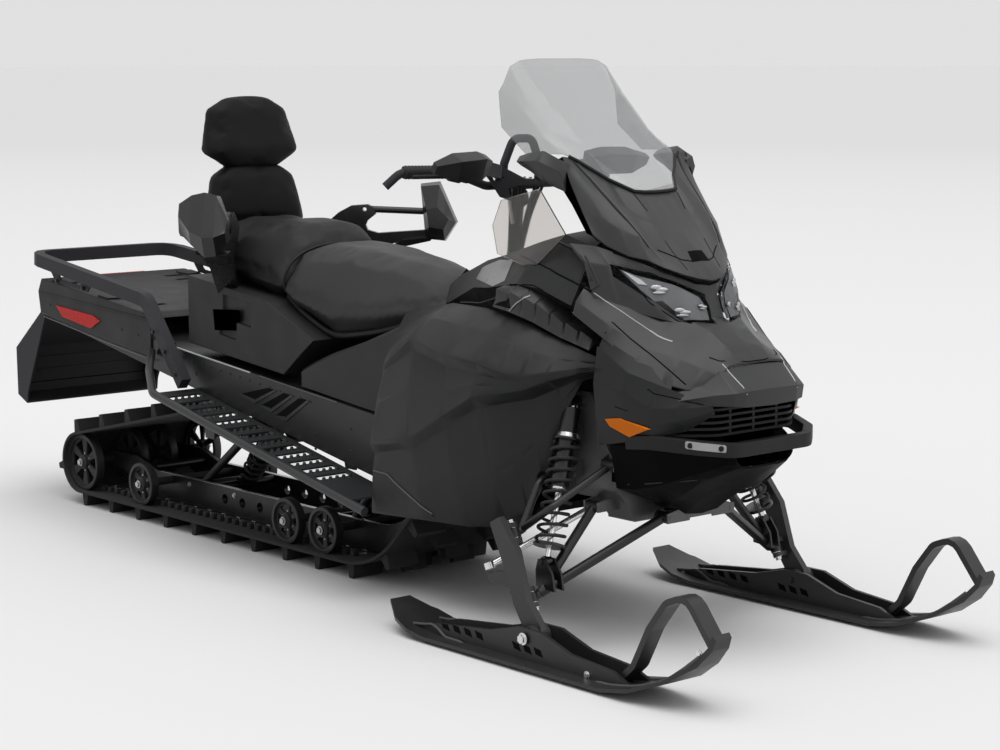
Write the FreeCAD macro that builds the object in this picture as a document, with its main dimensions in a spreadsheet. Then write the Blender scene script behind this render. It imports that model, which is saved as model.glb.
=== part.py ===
"""Two-up utility snowmobile: X to its left, Y to its rear, Z up, standing on the ground at Z = 0."""
import FreeCAD, Part
import math
import os
import re

import Sketcher
from FreeCAD import Vector

# Driving dimensions in millimetres, angles in degrees
SIZES = {
    # Track and its drive
    "belt_thick": 8,
    "lug_tall": 40,
    "lug_pitch": 76,
    "lug_base": 34,
    "lug_tip": 16,
    "idler_radius": 89,
    "idler_y": 1317,
    "sprocket_radius": 84,
    "sprocket_y": -330,
    "sprocket_z": 318,
    "slide_start_y": -60,
    "carrier_y": 560,
    "carrier_z": 330,
    "carrier_radius": 65,
    "arm_tube_radius": 17,
    "shaft_y_front": 142,
    "shaft_z": 118,
    "shaft_y_rear": 760,
    "bogie_radius": 65,
    "wheel_wide": 26,
    "wheel_out": 222,
    "axle_radius": 12,
    # Slide rails
    "rail_gauge": 230,
    "rail_thick": 14,
    "rail_tall": 84,
    # Tunnel and running boards
    "tunnel_wide": 530,
    "track_room": 15,
    "track_wide": "=tunnel_wide - 2 * track_room",
    "tunnel_wall": 4,
    "tunnel_front_y": -430,
    "tunnel_rear_y": 1500,
    "tunnel_front_z": 452,
    "tunnel_rear_z": 640,
    "side_drop": 165,
    "board_wide": 150,
    "board_thick": 5,
    "board_front_y": -300,
    "board_rear_y": 620,
    "board_front_z": 268,
    "board_rear_z": 447,
    "edge_tube_radius": 12,
    # Cargo end
    "deck_front_y": 850,
    "deck_rear_y": 1490,
    "deck_rise": 72,
    "deck_wall": 5,
    "hitch_hole_radius": 8.25,
    "hitch_hole_back": 92,
    "hitch_reach": 116,
    "flap_wide": 500,
    "flap_wall": 6,
    "rack_tube_wide": 30,
    "rack_tube_tall": 40,
    "rack_inset": 6,
    "rack_rear_y": 1550,
    "rack_top_z": 775,
    # Seats
    "seat_half": 190,
    "base_half": 262,
    # Body panels
    "panel_wall": 5,
    # Front suspension and skis
    "ski_stance": 926,
    "ski_wide": 160,
    "ski_thick": 9,
    "keel_wide": 18,
    "keel_tall": 12,
    "ski_bolt_radius": 8,
    "ski_bolt_y": -1085,
    "ski_bolt_z": 68,
    "saddle_wide": 52,
    "saddle_gap": 6,
    "pin_play": 0.05,
    "pivot_pin_radius": 6,
    "pivot_boss_radius": 14,
    "ear_thick": 5,
    "shock_body_radius": 24,
    "spring_radius": 37,
    "spring_wire": 8,
    "tie_rod_radius": 8,
    # Steering
    "post_radius": 16,
    "bar_radius": 11,
    "grip_radius": 16,
}

doc = FreeCAD.newDocument("Snowmobile")
sheet = doc.addObject("Spreadsheet::Sheet", "Sizes")
for row, (alias, amount) in enumerate(SIZES.items(), 1):
    sheet.set(f"A{row}", alias)
    sheet.set(f"B{row}", str(amount))
    sheet.setAlias(f"B{row}", alias)
doc.recompute()


def named(text):
    """Expression text with each driving dimension written as its spreadsheet cell."""
    return re.sub(r"[a-z][a-z_]+", lambda word: "Sizes." + word.group() if word.group() in SIZES
                  else word.group(), str(text))


def size(text):
    """Value of an expression of driving dimensions."""
    return float(sheet.evalExpression(named(text)))


def body(label):
    """Empty body for one sub-part."""
    made = doc.addObject("PartDesign::Body", label)
    made.Label = label
    return made


def sketch(owner, plane, lift):
    """Sketch on one of the body's own origin planes, moved off it along the plane's normal."""
    drawn = owner.newObject("Sketcher::SketchObject", "Outline")
    base = next(item for item in owner.Origin.OriginFeatures if item.Role == plane + "_Plane")
    drawn.AttachmentSupport = [(base, "")]
    drawn.MapMode = "FlatFace"
    drawn.setExpression("AttachmentOffset.Base.z", named(lift))
    return drawn


def hold(drawn, kind, geometry, vertex, text):
    """Dimension from the sketch's origin to a vertex, bound to the sheet where it names a size."""
    index = drawn.addConstraint(Sketcher.Constraint(kind, -1, 1, geometry, vertex, size(text)))
    if isinstance(text, str):
        drawn.setExpression(f"Constraints[{index}]", named(text))


def draw(drawn, points, circles=()):
    """Closed outline of straight runs, and circles given as centre and radius."""
    count = len(points)
    spots = [Vector(size(across), size(up), 0) for across, up in points]
    for i in range(count):
        drawn.addGeometry(Part.LineSegment(spots[i], spots[(i + 1) % count]), False)
    for i in range(count):
        drawn.addConstraint(Sketcher.Constraint("Coincident", i, 2, (i + 1) % count, 1))
    for i, (across, up) in enumerate(points):
        hold(drawn, "DistanceX", i, 1, across)
        hold(drawn, "DistanceY", i, 1, up)
    for across, up, radius in circles:
        i = drawn.addGeometry(Part.Circle(Vector(size(across), size(up), 0), Vector(0, 0, 1), size(radius)), False)
        hold(drawn, "DistanceX", i, 3, across)
        hold(drawn, "DistanceY", i, 3, up)
        index = drawn.addConstraint(Sketcher.Constraint("Radius", i, size(radius)))
        if isinstance(radius, str):
            drawn.setExpression(f"Constraints[{index}]", named(radius))


def pad(owner, plane, points, low, high, circles=()):
    """Outline given thickness from low to high along the axis square to its plane."""
    drawn = sketch(owner, plane, f"-({high})" if plane == "XZ" else low)
    draw(drawn, points, circles)
    made = owner.newObject("PartDesign::Pad", "Pad")
    made.Profile = drawn
    made.setExpression("Length", named(f"({high}) - ({low})"))
    return made


def pocket(owner, plane, points, low, high, circles=()):
    """Outline cut away from low to high along the axis square to its plane."""
    drawn = sketch(owner, plane, f"-({low})" if plane == "XZ" else high)
    draw(drawn, points, circles)
    made = owner.newObject("PartDesign::Pocket", "Pocket")
    made.Profile = drawn
    made.setExpression("Length", named(f"({high}) - ({low})"))
    return made


def repeat(owner, feature, direction, length, count):
    """Row of copies of one feature along an origin axis of its body."""
    made = owner.newObject("PartDesign::LinearPattern", "Row")
    made.Originals = [feature]
    axis = next(item for item in owner.Origin.OriginFeatures if item.Role == direction + "_Axis")
    made.Direction = (axis, [""])
    made.setExpression("Length", named(length))
    made.Occurrences = count
    owner.Tip = made
    return made


def placed(label, shape):
    """Sub-part whose shape comes from free sections or a path in space."""
    made = doc.addObject("Part::Feature", label)
    made.Shape = shape
    return made


def both_sides(label, right):
    """Two like pieces that don't touch, kept as one sub-part."""
    return placed(label, Part.makeCompound([right, right.mirror(Vector(0, 0, 0), Vector(1, 0, 0))]))


def mirrored(label, source):
    """The same piece on the machine's other side."""
    made = doc.addObject("Part::Mirroring", label)
    made.Label = label
    made.Source = source
    made.Normal = Vector(1, 0, 0)
    return made


def section(y, points):
    """Closed section across the machine at one place along it."""
    spots = [Vector(x, y, z) for x, z in points]
    return Part.makePolygon(spots + spots[:1])


def loft(sections):
    """Solid through closed sections, straight between them."""
    return Part.makeLoft(sections, True, True)


def wall_section(y, points, thick):
    """Section of a panel: its outer line, and the same line moved inwards by the wall."""
    inner = []
    for i, (x, z) in enumerate(points):
        before, after = points[max(i - 1, 0)], points[min(i + 1, len(points) - 1)]
        along = Vector(after[0] - before[0], after[1] - before[1], 0).normalize()
        inner.append((x - along.y * thick, z + along.x * thick))
    return section(y, list(points) + inner[::-1])


def panel(stations, thick):
    """Thin shell through outer lines given from one edge to the other, wall to their left."""
    return loft([wall_section(y, points, thick) for y, points in stations])


def rounded_path(points, bend):
    """Straight runs joined by tangent arcs."""
    spots = [Vector(*point) for point in points]
    edges, start = [], spots[0]
    for before, corner, after in zip(spots, spots[1:], spots[2:]):
        back, ahead = (before - corner).normalize(), (after - corner).normalize()
        half = back.getAngle(ahead) / 2
        radius = min(bend, 0.45 * math.tan(half) * min((before - corner).Length, (after - corner).Length))
        reach = radius / math.tan(half)
        first, last = corner + back * reach, corner + ahead * reach
        middle = corner + (back + ahead).normalize() * (radius / math.sin(half) - radius)
        edges += [Part.LineSegment(start, first).toShape(), Part.Arc(first, middle, last).toShape()]
        start = last
    edges.append(Part.LineSegment(start, spots[-1]).toShape())
    return Part.Wire(edges)


def tube(points, radius, bend):
    """Round bar along straight runs and arcs."""
    path = rounded_path(points, bend)
    ahead = Vector(*points[1]) - Vector(*points[0])
    ring = Part.Wire(Part.makeCircle(radius, Vector(*points[0]), ahead))
    return path.makePipeShell([ring], True, False)


def rod(start, end, radius):
    """Straight round bar between two points."""
    start, end = Vector(*start), Vector(*end)
    return Part.makeCylinder(radius, (end - start).Length, start, end - start)


def fused(shapes):
    """One solid of touching or crossing shapes, without seams between coplanar faces."""
    return shapes[0].fuse(shapes[1:]).removeSplitter()


def largest(shape):
    """The biggest of the solids that a cut leaves."""
    return max(shape.Solids, key=lambda solid: solid.Volume)


def cross_axle(y, z, radius, half):
    """Round axle across the machine."""
    return Part.makeCylinder(radius, 2 * half, Vector(-half, y, z), Vector(1, 0, 0))


# Track: one loop with its lugs
ground_belt = size("lug_tall")
belt = size("belt_thick")
track_half = size("track_wide") / 2


def tangent_points(first, second):
    """Points where a straight run leaves one wheel circle and meets the next, on their left."""
    (y1, z1, r1), (y2, z2, r2) = first, second
    gap = math.hypot(y2 - y1, z2 - z1)
    angle = math.atan2(z2 - z1, y2 - y1) + math.acos((r1 - r2) / gap)
    return ((y1 + r1 * math.cos(angle), z1 + r1 * math.sin(angle)),
            (y2 + r2 * math.cos(angle), z2 + r2 * math.sin(angle)))


idler_z = ground_belt + belt + size("idler_radius")
nose_radius = 300
slide_nose = (size("slide_start_y"), ground_belt + belt + nose_radius, nose_radius)
wheel_circles = [
    (size("idler_y"), idler_z, size("idler_radius")),
    (size("carrier_y"), size("carrier_z"), size("carrier_radius")),
    (size("sprocket_y"), size("sprocket_z"), size("sprocket_radius")),
    slide_nose,
]


def loop_points(grow):
    """Belt line round the wheels at a distance outside them, as runs between tangent points."""
    circles = [(y, z, r + grow) for y, z, r in wheel_circles]
    order = circles[::-1]
    return [tangent_points(order[i], order[(i + 1) % len(order)]) for i in range(len(order))], order


def loop_face(grow):
    """Face inside the belt line, in the machine's middle plane."""
    runs, circles = loop_points(grow)
    edges = []
    for i, (start, end) in enumerate(runs):
        edges.append(Part.LineSegment(Vector(0, *start), Vector(0, *end)).toShape())
        y, z, r = circles[(i + 1) % len(circles)]
        following = runs[(i + 1) % len(runs)][0]
        first, last = math.atan2(end[1] - z, end[0] - y), math.atan2(following[1] - z, following[0] - y)
        if last > first:
            last -= 2 * math.pi
        middle = (first + last) / 2
        spot = Vector(0, y + r * math.cos(middle), z + r * math.sin(middle))
        if (first - last) * r > 1:
            edges.append(Part.Arc(Vector(0, *end), spot, Vector(0, *following)).toShape())
    return Part.Face(Part.Wire(edges))


outer_face, inner_face = loop_face(belt), loop_face(0)
belt_line = outer_face.OuterWire
lug_count = 2 * round(belt_line.Length / size("lug_pitch") / 2)
lug_spots = belt_line.discretize(Number=lug_count + 1)[:-1]


def lug(spot, low, high):
    """Wedge paddle standing on the belt, between two places across the track."""
    middle = outer_face.CenterOfMass
    edge = min(belt_line.Edges, key=lambda item: item.distToShape(Part.Vertex(spot))[0])
    run = edge.tangentAt(edge.Curve.parameter(spot))
    out = run.cross(Vector(1, 0, 0)).normalize()
    if out.dot(spot - middle) < 0:
        out = -out
    base, tip, root = size("lug_base") / 2, size("lug_tip") / 2, 4
    corners = [spot - run * base - out * root, spot + run * base - out * root,
               spot + run * tip + out * size("lug_tall"), spot - run * tip + out * size("lug_tall")]
    face = Part.Face(Part.makePolygon(corners + corners[:1]))
    face.translate(Vector(low, 0, 0))
    return face.extrude(Vector(high - low, 0, 0))


def track_shape():
    """Belt band with its rows of paddles, in turn at the edges and inboard."""
    band = outer_face.cut(inner_face)
    band.translate(Vector(-track_half, 0, 0))
    loop = band.extrude(Vector(2 * track_half, 0, 0))
    lugs = []
    for i, spot in enumerate(lug_spots):
        spans = ((0.55, 0.96), (-0.96, -0.55), (-0.16, 0.16)) if i % 2 else ((0.2, 0.5), (-0.5, -0.2))
        lugs += [lug(spot, a * track_half, b * track_half) for a, b in spans]
    return loop.fuse(lugs)


track = placed("track", track_shape())

# Slide rails with the shafts between them
rail_x = size("rail_gauge") / 2
rail_low = ground_belt + belt
bogie_z = rail_low + size("bogie_radius")
bogie_spots = (55, 229, 981)
axle_spots = [(y, bogie_z) for y in bogie_spots] + [(size("idler_y"), idler_z)]


def slide_rails():
    """Two rails with a curved nose, joined by three cross shafts."""
    thick, tall = size("rail_thick"), size("rail_tall")
    y0, z0, r = slide_nose
    rise = math.radians(42)
    sweep = [rise * i / 5 for i in range(6)]
    low = [(y0 - r * math.sin(a), z0 - r * math.cos(a)) for a in sweep[::-1]]
    top = [(y0 - (r - tall) * math.sin(a), z0 - (r - tall) * math.cos(a)) for a in sweep]
    rear = size("idler_y")
    outline = low + [(rear - 210, rail_low), (rear - 60, idler_z - 28), (rear + 18, idler_z - 26), (rear + 28, idler_z),
                     (rear + 18, idler_z + 26), (rear - 150, idler_z + 26), (rear - 260, rail_low + tall)] + top
    face = Part.Face(Part.makePolygon([Vector(0, y, z) for y, z in outline + outline[:1]]))
    side = face.extrude(Vector(thick, 0, 0))
    holes = [rod((-1, y, rail_low + 0.55 * tall), (thick + 1, y, rail_low + 0.55 * tall), 15)
             for y in (330, 420, 510, 600, 690)]
    bore = size("axle_radius + pin_play")
    holes += [rod((-1, y, z), (thick + 1, y, z), bore) for y, z in axle_spots]
    side = side.cut(holes)
    right, left = side.copy(), side.copy()
    right.translate(Vector(-rail_x - thick / 2, 0, 0))
    left.translate(Vector(rail_x - thick / 2, 0, 0))
    shafts = [cross_axle(y, z, size("axle_radius"), rail_x) for y, z in (
        (size("shaft_y_front"), size("shaft_z")), (size("shaft_y_rear"), size("shaft_z")), (1130, 128))]
    return fused([right, left] + shafts)


def wheel(x, y, z, radius, windows):
    """Wheel with a rim, a hub and a web with windows, about a cross axle."""
    wide = size("wheel_wide")
    rim, web, hub = radius - 11, wide / 4, size("axle_radius") + 10
    axis = Vector(1, 0, 0)
    made = Part.makeCylinder(radius, wide, Vector(x - wide / 2, y, z), axis)
    for side in (-1, 1):
        face = x + side * web / 2 if side > 0 else x - wide / 2 - 1
        depth = wide / 2 + 1 - web / 2
        dish = Part.makeCylinder(rim, depth, Vector(face, y, z), axis)
        dish = dish.cut(Part.makeCylinder(hub, depth, Vector(face, y, z), axis))
        made = made.cut(dish)
    cuts = []
    for i in range(windows):
        turn = 2 * math.pi * i / windows
        spread = math.pi / windows * 0.62
        ends = [(hub + 3, -spread * 0.7), (rim - 5, -spread), (rim - 5, spread), (hub + 3, spread * 0.7)]
        corners = [Vector(x - wide, y + r * math.cos(turn + a), z + r * math.sin(turn + a)) for r, a in ends]
        cuts.append(Part.Face(Part.makePolygon(corners + corners[:1])).extrude(Vector(2 * wide, 0, 0)))
    return made.cut(cuts) if cuts else made


def wheel_set(y, z, radius, places, windows):
    """Wheels on one axle across the machine."""
    half = max(abs(x) for x in places) + size("wheel_wide") / 2 + 6
    wheels = [wheel(x, y, z, radius, windows) for x in places]
    return fused([cross_axle(y, z, size("axle_radius"), half)] + wheels)


wheel_out = size("wheel_out")
inner_x = rail_x - 60
idlers = placed("idler_wheels", wheel_set(size("idler_y"), idler_z, size("idler_radius"),
                                          (-wheel_out, -inner_x, inner_x, wheel_out), 6))
bogie_sets = [wheel_set(y, bogie_z, size("bogie_radius"), (-wheel_out, wheel_out), 6) for y in bogie_spots]
bogies = placed("bogie_wheels", Part.makeCompound(bogie_sets))
rails = placed("slide_rails", slide_rails())
carrier_y, carrier_z, carrier_radius = (size(name) for name in ("carrier_y", "carrier_z", "carrier_radius"))
carrier_bore = cross_axle(carrier_y, carrier_z, size("arm_tube_radius + pin_play"), track_half)
carrier = placed("carrier_wheels", Part.makeCompound(
    [wheel(x, carrier_y, carrier_z, carrier_radius, 0).cut(carrier_bore) for x in (-inner_x, inner_x)]))


def drive_axle_shape():
    """Cross axle with its two toothed drivers."""
    y, z, r = (size(name) for name in ("sprocket_y", "sprocket_z", "sprocket_radius"))
    teeth = 8
    drivers = []
    for x in (-90, 60):
        rim = [(r - (1 if i % 2 else 16), math.pi * i / teeth) for i in range(2 * teeth)]
        corners = [Vector(x, y + a * math.cos(b), z + a * math.sin(b)) for a, b in rim]
        drivers.append(Part.Face(Part.makePolygon(corners + corners[:1])).extrude(Vector(30, 0, 0)))
    return fused([cross_axle(y, z, 16, size("tunnel_wide / 2 - tunnel_wall"))] + drivers)


drive_axle = placed("drive_axle", drive_axle_shape())


arm_half = size("tunnel_wide / 2 - tunnel_wall")
tube_radius = size("arm_tube_radius")


def swing_arm(top, low, hanger_top):
    """Suspension arm: cross tube under the tunnel, two tubes down to the slide rails, and its hangers."""
    inside = rail_x - size("rail_thick") / 2
    parts = [cross_axle(*top, tube_radius, arm_half), cross_axle(*low, 15, inside)]
    for side in (-1, 1):
        parts.append(rod((side * (inside - 14), *top), (side * (inside - 14), *low), 13))
        hanger = [(top[0] - 42, hanger_top), (top[0] - 22, top[1] - 20), (top[0] + 22, top[1] - 20), (top[0] + 42, hanger_top)]
        parts.append(loft([lateral(side * x, hanger) for x in (arm_half - 6, arm_half)]))
    return fused(parts)


def lateral(x, points):
    """Closed section in the vertical plane at one place across the machine."""
    spots = [Vector(x, y, z) for y, z in points]
    return Part.makePolygon(spots + spots[:1])


front_top, rear_top = (-110, 330), (carrier_y, carrier_z)
front_arm = placed("front_swing_arm", swing_arm(front_top, (104, 106), 390))
rear_arm = placed("rear_swing_arm", swing_arm(rear_top, (860, 106), 480))


def shock(start, end, radius):
    """Damper: body, rod and two perches between its mounting points."""
    start, end = Vector(*start), Vector(*end)
    along = (end - start).normalize()
    whole = (end - start).Length
    barrel = Part.makeCylinder(radius, 0.52 * whole, start + along * 0.08 * whole, along)
    stem = Part.makeCylinder(radius * 0.42, whole, start, along)
    foot = Part.makeCylinder(radius * 1.35, 0.05 * whole, start + along * 0.84 * whole, along)
    perch = Part.makeCylinder(radius * 1.35, 0.05 * whole, start + along * 0.2 * whole, along)
    eyes = [cross_at(spot, size(eye) + 8, radius * 0.9) for spot, eye in ((start, "arm_tube_radius"), (end, "axle_radius"))]
    bores = [cross_at(spot, size(eye + " + pin_play"), 2 * radius)
             for spot, eye in ((start, "arm_tube_radius"), (end, "axle_radius"))]
    return fused([barrel, stem, foot, perch] + eyes).cut(bores)


def cross_at(spot, radius, half):
    """Short round boss across the machine at a point."""
    return Part.makeCylinder(radius, 2 * half, spot - Vector(half, 0, 0), Vector(1, 0, 0))


track_shocks = placed("track_shocks", Part.makeCompound([
    shock((0, *front_top), (0, size("shaft_y_front"), size("shaft_z")), 22),
    shock((0, *rear_top), (0, size("shaft_y_rear"), size("shaft_z")), 22)]))

# Tunnel and running boards
tunnel = body("tunnel")
slope = "(tunnel_rear_z - tunnel_front_z) / (tunnel_rear_y - tunnel_front_y)"
top_at = {name: f"(tunnel_front_z + ({y} - tunnel_front_y) * {slope})"
          for name, y in (("deck", "deck_front_y"), ("board", "board_rear_y"))}
tunnel_side = [("tunnel_front_y", "board_front_z"), ("board_rear_y", "board_rear_z"),
               ("tunnel_rear_y", "tunnel_rear_z - 40"), ("tunnel_rear_y", "tunnel_rear_z"),
               ("tunnel_front_y", "tunnel_front_z")]
pad(tunnel, "YZ", tunnel_side, "-tunnel_wide / 2", "tunnel_wide / 2")
hollow = [("tunnel_front_y - 5", "-5"), ("tunnel_rear_y + 5", "-5"),
          ("tunnel_rear_y + 5", "tunnel_rear_z - tunnel_wall + 5 * " + slope),
          ("tunnel_front_y - 5", "tunnel_front_z - tunnel_wall - 5 * " + slope)]
pocket(tunnel, "YZ", hollow, "-tunnel_wide / 2 + tunnel_wall", "tunnel_wide / 2 - tunnel_wall")

board = body("board_plate")
board_slope = "(board_rear_z - board_front_z) / (board_rear_y - board_front_y)"
pad(board, "YZ", [("board_front_y", "board_front_z"), ("board_rear_y", "board_rear_z"),
                  ("board_rear_y", "board_rear_z + board_thick"), ("board_front_y", "board_front_z + board_thick")],
    "-tunnel_wide / 2 - board_wide", "-tunnel_wide / 2")
slot_top = "board_rear_z + 40"
slot = pocket(board, "XY", [("-tunnel_wide / 2 - board_wide + 22", "board_front_y + 150"),
                            ("-tunnel_wide / 2 - 22", "board_front_y + 150"),
                            ("-tunnel_wide / 2 - 22", "board_front_y + 178"),
                            ("-tunnel_wide / 2 - board_wide + 22", "board_front_y + 178")], 200, slot_top)
repeat(board, slot, "Y", "board_rear_y - board_front_y - 220", 13)
doc.recompute()

board_x = size("-tunnel_wide / 2 - board_wide")
edge_path = [(board_x, size("board_front_y - 70"), size("board_front_z - 16")),
             (board_x, size("board_rear_y"), size("board_rear_z") + 4),
             (board_x + 60, size("board_rear_y") + 110, size("board_rear_z") + 55),
             (-size("tunnel_wide / 2 + edge_tube_radius"), size("deck_front_y") - 14, 540)]
running_board = placed("running_board_right", fused([board.Shape, tube(edge_path, size("edge_tube_radius"), 60)]))

# Cargo end: deck, lamp, reflectors, flap, hitch and rack
deck = body("cargo_deck")
deck_low_front, deck_low_rear = "tunnel_front_z + 70", "tunnel_rear_z - 36"
pad(deck, "YZ", [("deck_front_y", deck_low_front), ("deck_rear_y", deck_low_rear),
                 ("deck_rear_y + 12", "tunnel_rear_z + 30"), ("deck_rear_y - 10", "tunnel_rear_z + deck_rise"),
                 ("deck_front_y + 30", "tunnel_rear_z + 12"), ("deck_front_y", "tunnel_rear_z - 10")],
    "-tunnel_wide / 2 - 1 - deck_wall", "tunnel_wide / 2 + 1 + deck_wall")
pocket(deck, "YZ", [("deck_front_y - 20", deck_low_front + " - 60"), ("deck_rear_y + 30", deck_low_rear + " - 60"),
                    ("deck_rear_y + 30", "tunnel_rear_z + 1"), ("deck_rear_y - 12", "tunnel_rear_z + 1"),
                    ("deck_rear_y - 12", "tunnel_rear_z + deck_rise - deck_wall - 4"),
                    ("deck_front_y + 30", "tunnel_rear_z + 12 - deck_wall"),
                    ("deck_front_y - 20", "tunnel_rear_z - 14 - deck_wall")],
       "-tunnel_wide / 2 - 1", "tunnel_wide / 2 + 1")
for across in (-200, 130):
    slot = pocket(deck, "XY", [(across, "deck_front_y + 120"), (across + 70, "deck_front_y + 120"),
                               (across + 70, "deck_front_y + 142"), (across, "deck_front_y + 142")],
                  "tunnel_rear_z + 5", "tunnel_rear_z + deck_rise + 20")
    repeat(deck, slot, "Y", "deck_rear_y - deck_front_y - 240", 7)
doc.recompute()

lamp = body("tail_lamp")
pad(lamp, "YZ", [("deck_rear_y + 12", "tunnel_rear_z + 30"), ("deck_rear_y - 10", "tunnel_rear_z + deck_rise"),
                 ("deck_rear_y + 2", "tunnel_rear_z + deck_rise"), ("deck_rear_y + 24", "tunnel_rear_z + 30")],
    -120, 120)

deck_side = size("tunnel_wide / 2 + 1 + deck_wall")
reflector_line = [(1388, 633), (1171, 620), (1128, 606), (1183, 578), (1349, 600)]
reflector = Part.Face(Part.makePolygon([Vector(0, y, z) for y, z in reflector_line + reflector_line[:1]]))
right, left = (reflector.extrude(Vector(4, 0, 0)) for side in (0, 1))
right.translate(Vector(-deck_side - 4, 0, 0))
left.translate(Vector(deck_side, 0, 0))
side_reflectors = placed("side_reflectors", Part.makeCompound([right, left]))

flap = body("snow_flap")
rear_edge = ("tunnel_rear_y + 2", "tunnel_rear_z - 44")
outer = [("tunnel_rear_y + 2", "tunnel_rear_z - 22"), ("tunnel_rear_y + 187", 470), ("tunnel_rear_y + 183", 316),
         ("tunnel_rear_y + 126", 292)]
inner = [("tunnel_rear_y + 126", "292 + flap_wall"), ("tunnel_rear_y + 183 - flap_wall", "316 + flap_wall"),
         ("tunnel_rear_y + 187 - flap_wall", "470 - flap_wall / 2"), ("tunnel_rear_y + 2", "tunnel_rear_z - 22 - flap_wall")]
pad(flap, "YZ", outer + inner, "-flap_wide / 2", "flap_wide / 2")
side_wall = [("tunnel_rear_y + 2", "tunnel_rear_z - 22"), ("tunnel_rear_y + 187", 470), ("tunnel_rear_y + 183", 316),
             ("tunnel_rear_y + 126", 292), ("tunnel_rear_y + 120", 330), ("tunnel_rear_y + 2", "tunnel_rear_z - 60")]
pad(flap, "YZ", side_wall, "-flap_wide / 2", "-flap_wide / 2 + flap_wall")
pad(flap, "YZ", side_wall, "flap_wide / 2 - flap_wall", "flap_wide / 2")

hitch = body("tow_hitch")
hitch_top = "(tunnel_rear_z - tunnel_wall)"
pad(hitch, "YZ", [("tunnel_rear_y - 120", hitch_top + " - 12 - 120 * " + slope), ("tunnel_rear_y", hitch_top + " - 12"),
                  ("tunnel_rear_y + hitch_reach", hitch_top + " - 12"), ("tunnel_rear_y + hitch_reach", hitch_top),
                  ("tunnel_rear_y", hitch_top), ("tunnel_rear_y - 120", hitch_top + " - 120 * " + slope)], -35, 35)
pocket(hitch, "XY", [], hitch_top + " - 20", hitch_top + " + 5", [(0, "tunnel_rear_y + hitch_hole_back", "hitch_hole_radius")])


def flat_bar(points, bend, wide, tall):
    """Rectangular tube round bends, its flat sides kept upright, mitred between short runs."""
    path = rounded_path(points, bend)
    spots = [path.Edges[0].Vertexes[0].Point]
    for edge in path.Edges:
        steps = 1 if edge.Curve.TypeId == "Part::GeomLine" else 3
        first, last = edge.FirstParameter, edge.LastParameter
        spots += [edge.valueAt(first + (last - first) * i / steps) for i in range(1, steps + 1)]
    sections = []
    for i, spot in enumerate(spots):
        before, after = spots[max(i - 1, 0)], spots[min(i + 1, len(spots) - 1)]
        ahead = (after - spot if i == 0 else spot - before).normalize()
        along = (after - before).normalize()
        side = ahead.cross(Vector(0, 0, 1)).normalize()
        up = side.cross(ahead)
        corners = []
        for a, b in ((1, 1), (-1, 1), (-1, -1), (1, -1)):
            corner = spot + side * a * wide / 2 + up * b * tall / 2
            slide = along.dot(spot - corner) / along.dot(ahead)
            corners.append(corner + ahead * slide)
        sections.append(Part.makePolygon(corners + corners[:1]))
    return loft(sections)


def rack_shape():
    """Loop of rectangular tube from both boards round the cargo end, with two brackets."""
    half, top = size("tunnel_wide / 2 - rack_inset"), size("rack_top_z")
    rear = size("rack_rear_y")
    path = [(-half - 52, 612, 470), (-half - 26, 843, top - 80), (-half, rear, top),
            (half, rear, top), (half + 26, 843, top - 80), (half + 52, 612, 470)]
    bar = flat_bar(path, 60, size("rack_tube_wide"), size("rack_tube_tall"))
    shapes = [bar]
    plate = [(1205, 690), (1390, 705), (1430, top - 24), (1170, top - 54)]
    window = [(1245, 706), (1360, 716), (1376, top - 38), (1235, top - 60)]
    for x in (-deck_side, deck_side - 5):
        faces = [Part.Face(Part.makePolygon([Vector(x, y, z) for y, z in line + line[:1]])) for line in (plate, window)]
        shapes.append(faces[0].cut(faces[1]).extrude(Vector(5, 0, 0)))
    return fused(shapes)


rack = placed("rear_rack", rack_shape())

# Seat base and seats
seat_base = body("seat_base")
base_side = [(660, "tunnel_front_z + 130"), (660, 782), (300, 742), (262, 730), (48, 645), (110, 600), (190, "tunnel_front_z + 84")]
pad(seat_base, "YZ", base_side, "-base_half", "base_half")
for low, high in (("-base_half - 1", "-base_half + 8"), ("base_half - 8", "base_half + 1")):
    pocket(seat_base, "YZ", [(345, 655), (480, 672), (480, 738), (345, 722)], low, high)
    pocket(seat_base, "YZ", [(420, 612), (500, 622), (500, 660), (420, 650)], low, high)


def ring(y, half, low, shoulder, top, top_half):
    """Six-sided seat section: lower edge, shoulder and crown on each side."""
    right = [(-0.82 * half, low), (-half, shoulder), (-top_half, top - 14), (-0.5 * top_half, top)]
    return section(y, right + [(-x, z) for x, z in right[::-1]])


def rider_seat_shape():
    """Rider's cushion, low and narrow in front and deep at the rear seam."""
    return loft([ring(-340, 95, 742, 762, 800, 48), ring(-274, 150, 712, 745, 832, 80),
                 ring(-130, 196, 672, 720, 858, 108), ring(40, 226, 646, 706, 880, 130),
                 ring(205, 230, 715, 745, 888, 140), ring(262, 215, 742, 770, 884, 140)])


def passenger_seat_shape():
    """Passenger's cushion, behind and above the rider's."""
    return loft([ring(265, 214, 745, 770, 893, 120), ring(330, 222, 746, 780, 935, 120),
                 ring(430, 225, 762, 800, 940, 130), ring(560, 216, 772, 812, 930, 140),
                 ring(640, 196, 780, 830, 945, 130)])


rider_seat = placed("rider_seat", rider_seat_shape())
passenger_seat = placed("passenger_seat", passenger_seat_shape())


def pad_section(z, half, front, rear, bevel):
    """Level section of a backrest pad."""
    corners = [(-half, front + bevel), (-half + bevel, front), (half - bevel, front), (half, front + bevel),
               (half, rear - 12), (half - 14, rear), (-half + 14, rear), (-half, rear - 12)]
    spots = [Vector(x, y, z) for x, y in corners]
    return Part.makePolygon(spots + spots[:1])


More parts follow.
